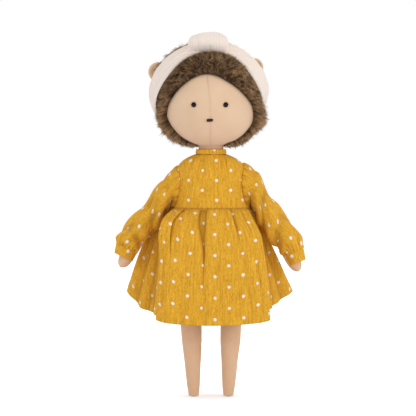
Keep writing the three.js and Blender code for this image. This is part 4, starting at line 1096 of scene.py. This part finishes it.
HAIRS, LEADERS, LARGEST_PIECE = 54000, 6500, 9500
ball = unit(rng.normal(size=(HAIRS * 3, 3)))
root_z = HEAD_Z + HEAD_H * ball[:, 2]
root_r = head_radius(root_z)
root_turn = np.arctan2(ball[:, 0], ball[:, 1])
root = join(root_r * np.sin(root_turn), HEAD_D / HEAD_W * root_r * np.cos(root_turn), root_z)
local = root - band_middle
band_side = local @ band_back
front, back = band_edges(np.arctan2(local[:, 0], local @ band_up))
buried = (band_side > 4 - front) & (band_side < back - 4)
at_neck = (root_z < 214) & (np.hypot(root[:, 0], root[:, 1]) < 13.5)
edge_gap = past_face(*root.T)
clear = (edge_gap > -0.9) & ~buried & ~at_neck
first, later = rng.uniform(0, 0.35, len(root)), rng.uniform(0, 1, len(root))
order = np.argsort(np.where(edge_gap < 2.2, first, later) + 9 * ~clear)[:HAIRS]
root, edge_gap = root[order], edge_gap[order]
normal = unit((root - np.array([0, 0, HEAD_Z])) / np.array([HEAD_W, HEAD_D, HEAD_H]) ** 2)
side, height = root[:, 0], root[:, 2]
neck_far = np.hypot(side, root[:, 1])
far_side = np.sign(side)
comb = join(0.95 * side, 14 + 0.35 * root[:, 1], 0.5 * (height - 250) - 15)
comb = comb + rng.normal(size=root.shape) * 18
comb = unit(comb - (comb * normal).sum(1, keepdims=True) * normal)
by_face = bell(np.maximum(edge_gap, 0), 0, 2.6)
behind = smooth(0, 14, (root - band_middle) @ band_back)
low_cut = np.where(side > 0, 219, 212)
low_side = smooth(247, 234, height) * smooth(low_cut, low_cut + 9, height)
on_top = smooth(252, 268, height) * behind
top_change = 4.6 * bell(side, -35, 8) - 2.2 - 1.0 * far_side - 2.4 * bell(side, -14, 6)
long = (rng.uniform(6.6, 9.4, len(root)) * (1 - 0.48 * by_face) + low_side * (2.0 + 0.4 * far_side)
        + behind * (1.6 - 1.6 * far_side) + on_top * top_change)
long *= 1 - 0.5 * smooth(25, 14, neck_far) * smooth(224, 212, height)
rise = 0.68 + 0.15 * rng.normal(size=len(root)) + 0.4 * by_face
rise = rise + 0.12 * low_side + 0.1 * behind - 0.25 * on_top
lean = np.sqrt(np.clip(1 - np.minimum(rise, 1) ** 2, 0.03, 1)) * (1 - 1.12 * by_face)
tip = root + long[:, None] * (normal * rise[:, None] + comb * lean[:, None])
# Each hair leans to its nearest leader, so the pile lies in locks.
leaders = rng.choice(len(root), LEADERS, replace=False)
nearest = np.empty(len(root), int)
for block in np.array_split(np.arange(len(root)), 48):
    nearest[block] = ((root[block, None] - root[leaders][None]) ** 2).sum(-1).argmin(1)
pull = rng.uniform(0.5, 0.88, len(root))[:, None]
tip = tip * (1 - pull) + (tip[leaders[nearest]] + 0.25 * (root - root[leaders[nearest]])) * pull
tip += 0.6 * rng.normal(size=tip.shape)
elbow = root + long[:, None] * 0.5 * (normal * 0.95 + comb * 0.15) + 0.7 * rng.normal(size=tip.shape)
steps = np.array([0.0, 0.5, 1.0])[None, :, None]
spine = root[:, None] * (1 - steps) ** 2 + 2 * elbow[:, None] * steps * (1 - steps)
spine = pressed(spine + tip[:, None] * steps ** 2)
hair_ahead = unit(np.gradient(spine, axis=1))
beside = unit(np.cross(hair_ahead, normal[:, None] + 0.01))
thick = np.array([[0.19, 0.16, 0.03]]) * rng.uniform(0.8, 1.25, (len(root), 1))
hair_points = around(spine, thick, beside, np.cross(beside, hair_ahead), 3)
# Painted light: hairs near the face's lower edge are made lighter in tone and along their length, where the
# hollow beside the face shades them.
painted_light_near_face = bell(np.maximum(edge_gap, 0), 0, 7) * smooth(262, 236, height)
hair_tone_and_painted_light = 0.58 + 0.2 * painted_light_near_face + 0.3 * rng.normal(size=len(root))
hair_tone_and_painted_light = np.clip(hair_tone_and_painted_light + 0.5 * rng.normal(size=LEADERS)[nearest], 0, 1)
# Painted light: near the face, the hairs' darker lower parts are lifted towards the colour of their tips.
painted_light_lift = np.maximum(0.5 * by_face, 0.64 * painted_light_near_face)
region = np.where(root[:, 1] < -14, 0, np.where(side > 0, 1, 2))
for n, title in enumerate(("front", "left", "right")):
    chosen = np.flatnonzero(region == n)
    halves = np.array_split(chosen, max(1, int(np.ceil(len(chosen) / LARGEST_PIECE))))
    for half, members in enumerate(halves):
        shape = (len(members), 3, 3)
        way_up_and_painted_light = np.broadcast_to(np.maximum(steps, painted_light_lift[members][:, None, None]), shape)
        tone = np.broadcast_to(hair_tone_and_painted_light[members][:, None, None], shape)
        values = {"way_up_and_painted_light": way_up_and_painted_light, "tone": tone}
        hair = strands(f"pile_hair_{title}_{half + 1}", pile_hair, hair_points[members], values)
        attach(hair, "head")


# Ears: small round lobes of short velour, turned and lightly stuffed, pinched where they are sewn on
# through the pile just behind the headband.
ear_velour, tree, shade = finish("ear_velour", 0.95, Sheen_Weight=0.5, Sheen_Roughness=0.35)
spot = put(tree, "TexCoord").outputs["Object"]
nap, brushed = noise(tree, spot, 1500.0, 3.0), noise(tree, spot, 120.0, 2.0)
share = calc(tree, "MULTIPLY_ADD", nap, 0.35, calc(tree, "MULTIPLY", brushed, 0.7))
cover(tree, shade, between(tree, share, "#CBA27B", "#E8C8A4"), nap, 0.5, 0.0003)
EAR_Y, EAR_HALF_THICK, EAR_HALF_TALL = 14.0, 3.7, 7.9
for name, hand, ear_out, ear_z, wide in (("left", 1, 36.8, 270.6, 6.4), ("right", -1, 44.6, 267.2, 7.2)):
    share, turn = np.linspace(-1, 1, 60)[:, None], turns(96)[None, :]
    ball_z, ball_r = np.sin(share * pi / 2), np.cos(share * pi / 2)
    x, y = ball_r * np.sin(turn), -ball_r * np.cos(turn)
    hollow = 1.5 * np.exp(-((x - 0.05) ** 2 + ball_z ** 2) / 0.3) * (y < 0)
    rim_roll = 1 + 0.25 * bell(np.hypot(x, ball_z), 0.82, 0.16)
    ear_y = EAR_Y + EAR_HALF_THICK * y * rim_roll + hollow + 0.36 * (1 - x)
    rings = join(hand * (ear_out + wide * x), ear_y, ear_z + EAR_HALF_TALL * ball_z * (1 - 0.06 * x))
    if hand < 0:
        rings = rings[:, ::-1]
    ear = skin(f"ear_{name}_velour", ear_velour, rings)
    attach(ear, "head")
    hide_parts(f"ear_{name}")


# Headband: a stretchy tube of ribbed jersey round the head, drawn into soft folds where it runs into
# the knot. The knot is a short piece of the same jersey wrapped round it.
band_jersey, tree, shade = finish("band_jersey", 0.95, Sheen_Weight=0.3, Sheen_Roughness=0.5)
cloth = cloth_place(tree)
across = put(tree, "SeparateXYZ", {0: cloth}).outputs[1]
wander = calc(tree, "MULTIPLY", stretched_noise(tree, cloth, (0.05, 0.3, 1), 2.0), 3.0)
ribs = calc(tree, "SINE", calc(tree, "MULTIPLY_ADD", across, 2 * pi / 1.25, wander))
fuzz = noise(tree, cloth, 1.3, 4.0)
share = calc(tree, "MULTIPLY_ADD", ribs, 0.15, calc(tree, "MULTIPLY_ADD", fuzz, 0.5, 0.25))
height = calc(tree, "MULTIPLY_ADD", ribs, 0.35, fuzz)
cover(tree, shade, between(tree, share, "#E0CDBF", "#FDF2E8"), height, 0.5, 0.0005)

turn, lap = turns(460)[None, :], turns(110)[:, None]
share = np.sin(lap)
front, back = band_edges(turn)
across = np.where(share > 0, share * back, share * front)
knot_near = np.exp(-((1 - np.cos(turn)) / 0.16))
pleats = (0.7 + 1.1 * knot_near) * np.cos(4.4 * pi * share + 1.2 * round_ripple(3, turn, 0 * share, 101))
pleats = pleats + 0.35 * round_ripple(8, turn, 4 * share, 103)
ridge = 0.1 * np.cos(across * 2 * pi / 1.9 + 2 * round_ripple(3, turn, across * 0.3, 105))
outside = 2.2 * np.abs(np.cos(lap)) ** 0.55 + (pleats + ridge) * np.abs(np.cos(lap)) ** 0.5
lift = np.where(np.cos(lap) > 0, np.maximum(outside, 0.25), 0.05)
radius = band_radius(turn, across) + lift
rings = from_band(radius * np.sin(turn), radius * np.cos(turn), across)
band = skin("headband_jersey", band_jersey, rings, "loop", join((turn - 2 * pi * (turn > pi)) * 47, across))
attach(band, "headband")
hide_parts("headband_band")

KNOT_HALF_WIDE, KNOT_HALF_TALL, KNOT_HALF_DEEP, KNOT_UP, KNOT_SHIFT = 16.6, 8.6, 9.2, 46.6, -2.2
share, lap = grid(130, 180)
side = -np.cos(pi * share)
swell = (1 - np.abs(side) ** 3.4) ** (1 / 3.4)
ribbing = 0.08 * np.cos(side * 17 * 2 * pi / 1.9 + 1.5 * round_ripple(3, lap, 3 * side, 111))
soft = 1.0 * round_ripple(2.5, lap, 3.5 * side, 113, 6, 0.7, 1.4)
fold = -1.1 * bell(side - 0.22 - 0.16 * np.sin(lap - 0.6), 0, 0.07)
fold = fold * smooth(-0.2, 0.8, -np.sin(lap)) * smooth(0.6, -0.4, np.cos(lap))
fold = fold - 0.4 * bell(side + 0.5 + 0.12 * np.cos(lap), 0, 0.09)
puff = ribbing + soft + fold
wrap_up, wrap_back = squared(np.cos(lap), 0.78), squared(np.sin(lap), 0.78)
local_up = KNOT_UP + wrap_up * swell * (KNOT_HALF_TALL + puff) - 1.6 * np.abs(side) ** 2.5 + 0.3
local_back = wrap_back * swell * (KNOT_HALF_DEEP + puff)
rings = from_band(KNOT_SHIFT + KNOT_HALF_WIDE * side, local_up, local_back)
knot = skin("headband_knot_wrap", band_jersey, rings, uv=join(lap * 9, side * 17))
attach(knot, "headband")
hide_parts("headband_knot")


# Inside pieces: loose fibre in the body, and the moulded washers behind the face. They keep the packed
# part's own shapes, because nothing of them shows.
washer = speckled("washer_plastic", 0.45, 300.0, 2.0, "#DEDBD4", "#EFEDE8", 0.1, 0.0001)
inside = {f"{node}_stuffing": fibre for node in ("torso", "neck", "head", "leg_left", "leg_right")}
inside.update({f"eye_washer_{name}": washer for name in ("left", "right")})
for node, material in inside.items():
    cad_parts[node].data.materials.clear()
    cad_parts[node].data.materials.append(material)


# Stage: a pale floor, soft lamps in front and above, and a long lens level with the doll's waist. The
# floor glows to white for the camera away from the feet, so it keeps only the doll's shadow.
def camera_rays(tree):
    """1 for rays that come from the camera, straight or by way of a shiny or clear surface."""
    rays = put(tree, "LightPath").outputs
    indirect = calc(tree, "MAXIMUM", rays["Is Glossy Ray"], rays["Is Transmission Ray"])
    return calc(tree, "MAXIMUM", rays["Is Camera Ray"], indirect)


paper, tree, shade = finish("stage_paper", 0.9)
shade.inputs["Base Color"].default_value = (0.9, 0.9, 0.92, 1)
place = put(tree, "TexCoord").outputs["Object"]
far = put(tree, "VectorMath", {0: place}, operation="LENGTH").outputs["Value"]
strength = calc(tree, "MULTIPLY", camera_rays(tree), ranged(tree, far, 0.02, 0.06, 0.34, 0.68))
white = {"Color": (1, 1, 1, 1)}
glow = put(tree, "Emission", {**white, "Strength": strength})
both = put(tree, "AddShader", {0: shade.outputs[0], 1: glow.outputs[0]})
tree.links.new(both.outputs[0], tree.nodes["Material Output"].inputs["Surface"])
FLOOR_REACH = 3000
floor_points = np.array([(-1, -1, 0), (1, -1, 0), (1, 1, 0), (-1, 1, 0)]) * FLOOR_REACH
floor = mesh_object("stage_floor", paper, floor_points, [np.array([[0, 1, 2, 3]])])

scene.view_settings.view_transform = "Standard"
world = bpy.data.worlds.new("studio")
scene.world = world
world.use_nodes = True
tree = world.node_tree
tree.nodes.clear()
soft_sky, white_wall = (put(tree, "Background", {**white, "Strength": level}) for level in (0.8, 1.0))
sky = put(tree, "MixShader", {0: camera_rays(tree), 1: soft_sky.outputs[0], 2: white_wall.outputs[0]})
tree.links.new(sky.outputs[0], tree.nodes.new("ShaderNodeOutputWorld").inputs[0])


def lamp(name, place, aim, size, power):
    """A square soft box, in metres, turned to face a point."""
    light = bpy.data.lights.new(name, "AREA")
    light.size = size
    light.energy = power
    box = bpy.data.objects.new(name, light)
    box.location = place
    box.rotation_euler = (Vector(aim) - Vector(place)).to_track_quat("-Z", "Y").to_euler()
    scene.collection.objects.link(box)


lamp("key_softbox", (1.2, -1.05, 0.48), (0, 0, 0.14), 0.8, 6.3)
lamp("fill_softbox", (-1.25, -1.1, 0.16), (0, 0, 0.12), 1.0, 5.0)
lamp("top_softbox", (0.0, 0.3, 1.3), (0, 0, 0.15), 0.9, 1.5)

TILT_DOWN = np.radians(2.0)
AIM = (-0.0025, 0.0, 0.1553)
DISTANCE, VIEW_WIDE, SENSOR = 3.0, 0.3421, 36.0
camera = bpy.data.cameras.new("camera")
camera.lens = SENSOR * DISTANCE / VIEW_WIDE
camera.sensor_width = SENSOR
camera.clip_end = 20.0
eye = bpy.data.objects.new("camera", camera)
eye.location = (AIM[0], AIM[1] - DISTANCE * np.cos(TILT_DOWN), AIM[2] + DISTANCE * np.sin(TILT_DOWN))
eye.rotation_euler = (pi / 2 - TILT_DOWN, 0, 0)
scene.collection.objects.link(eye)
scene.camera = eye
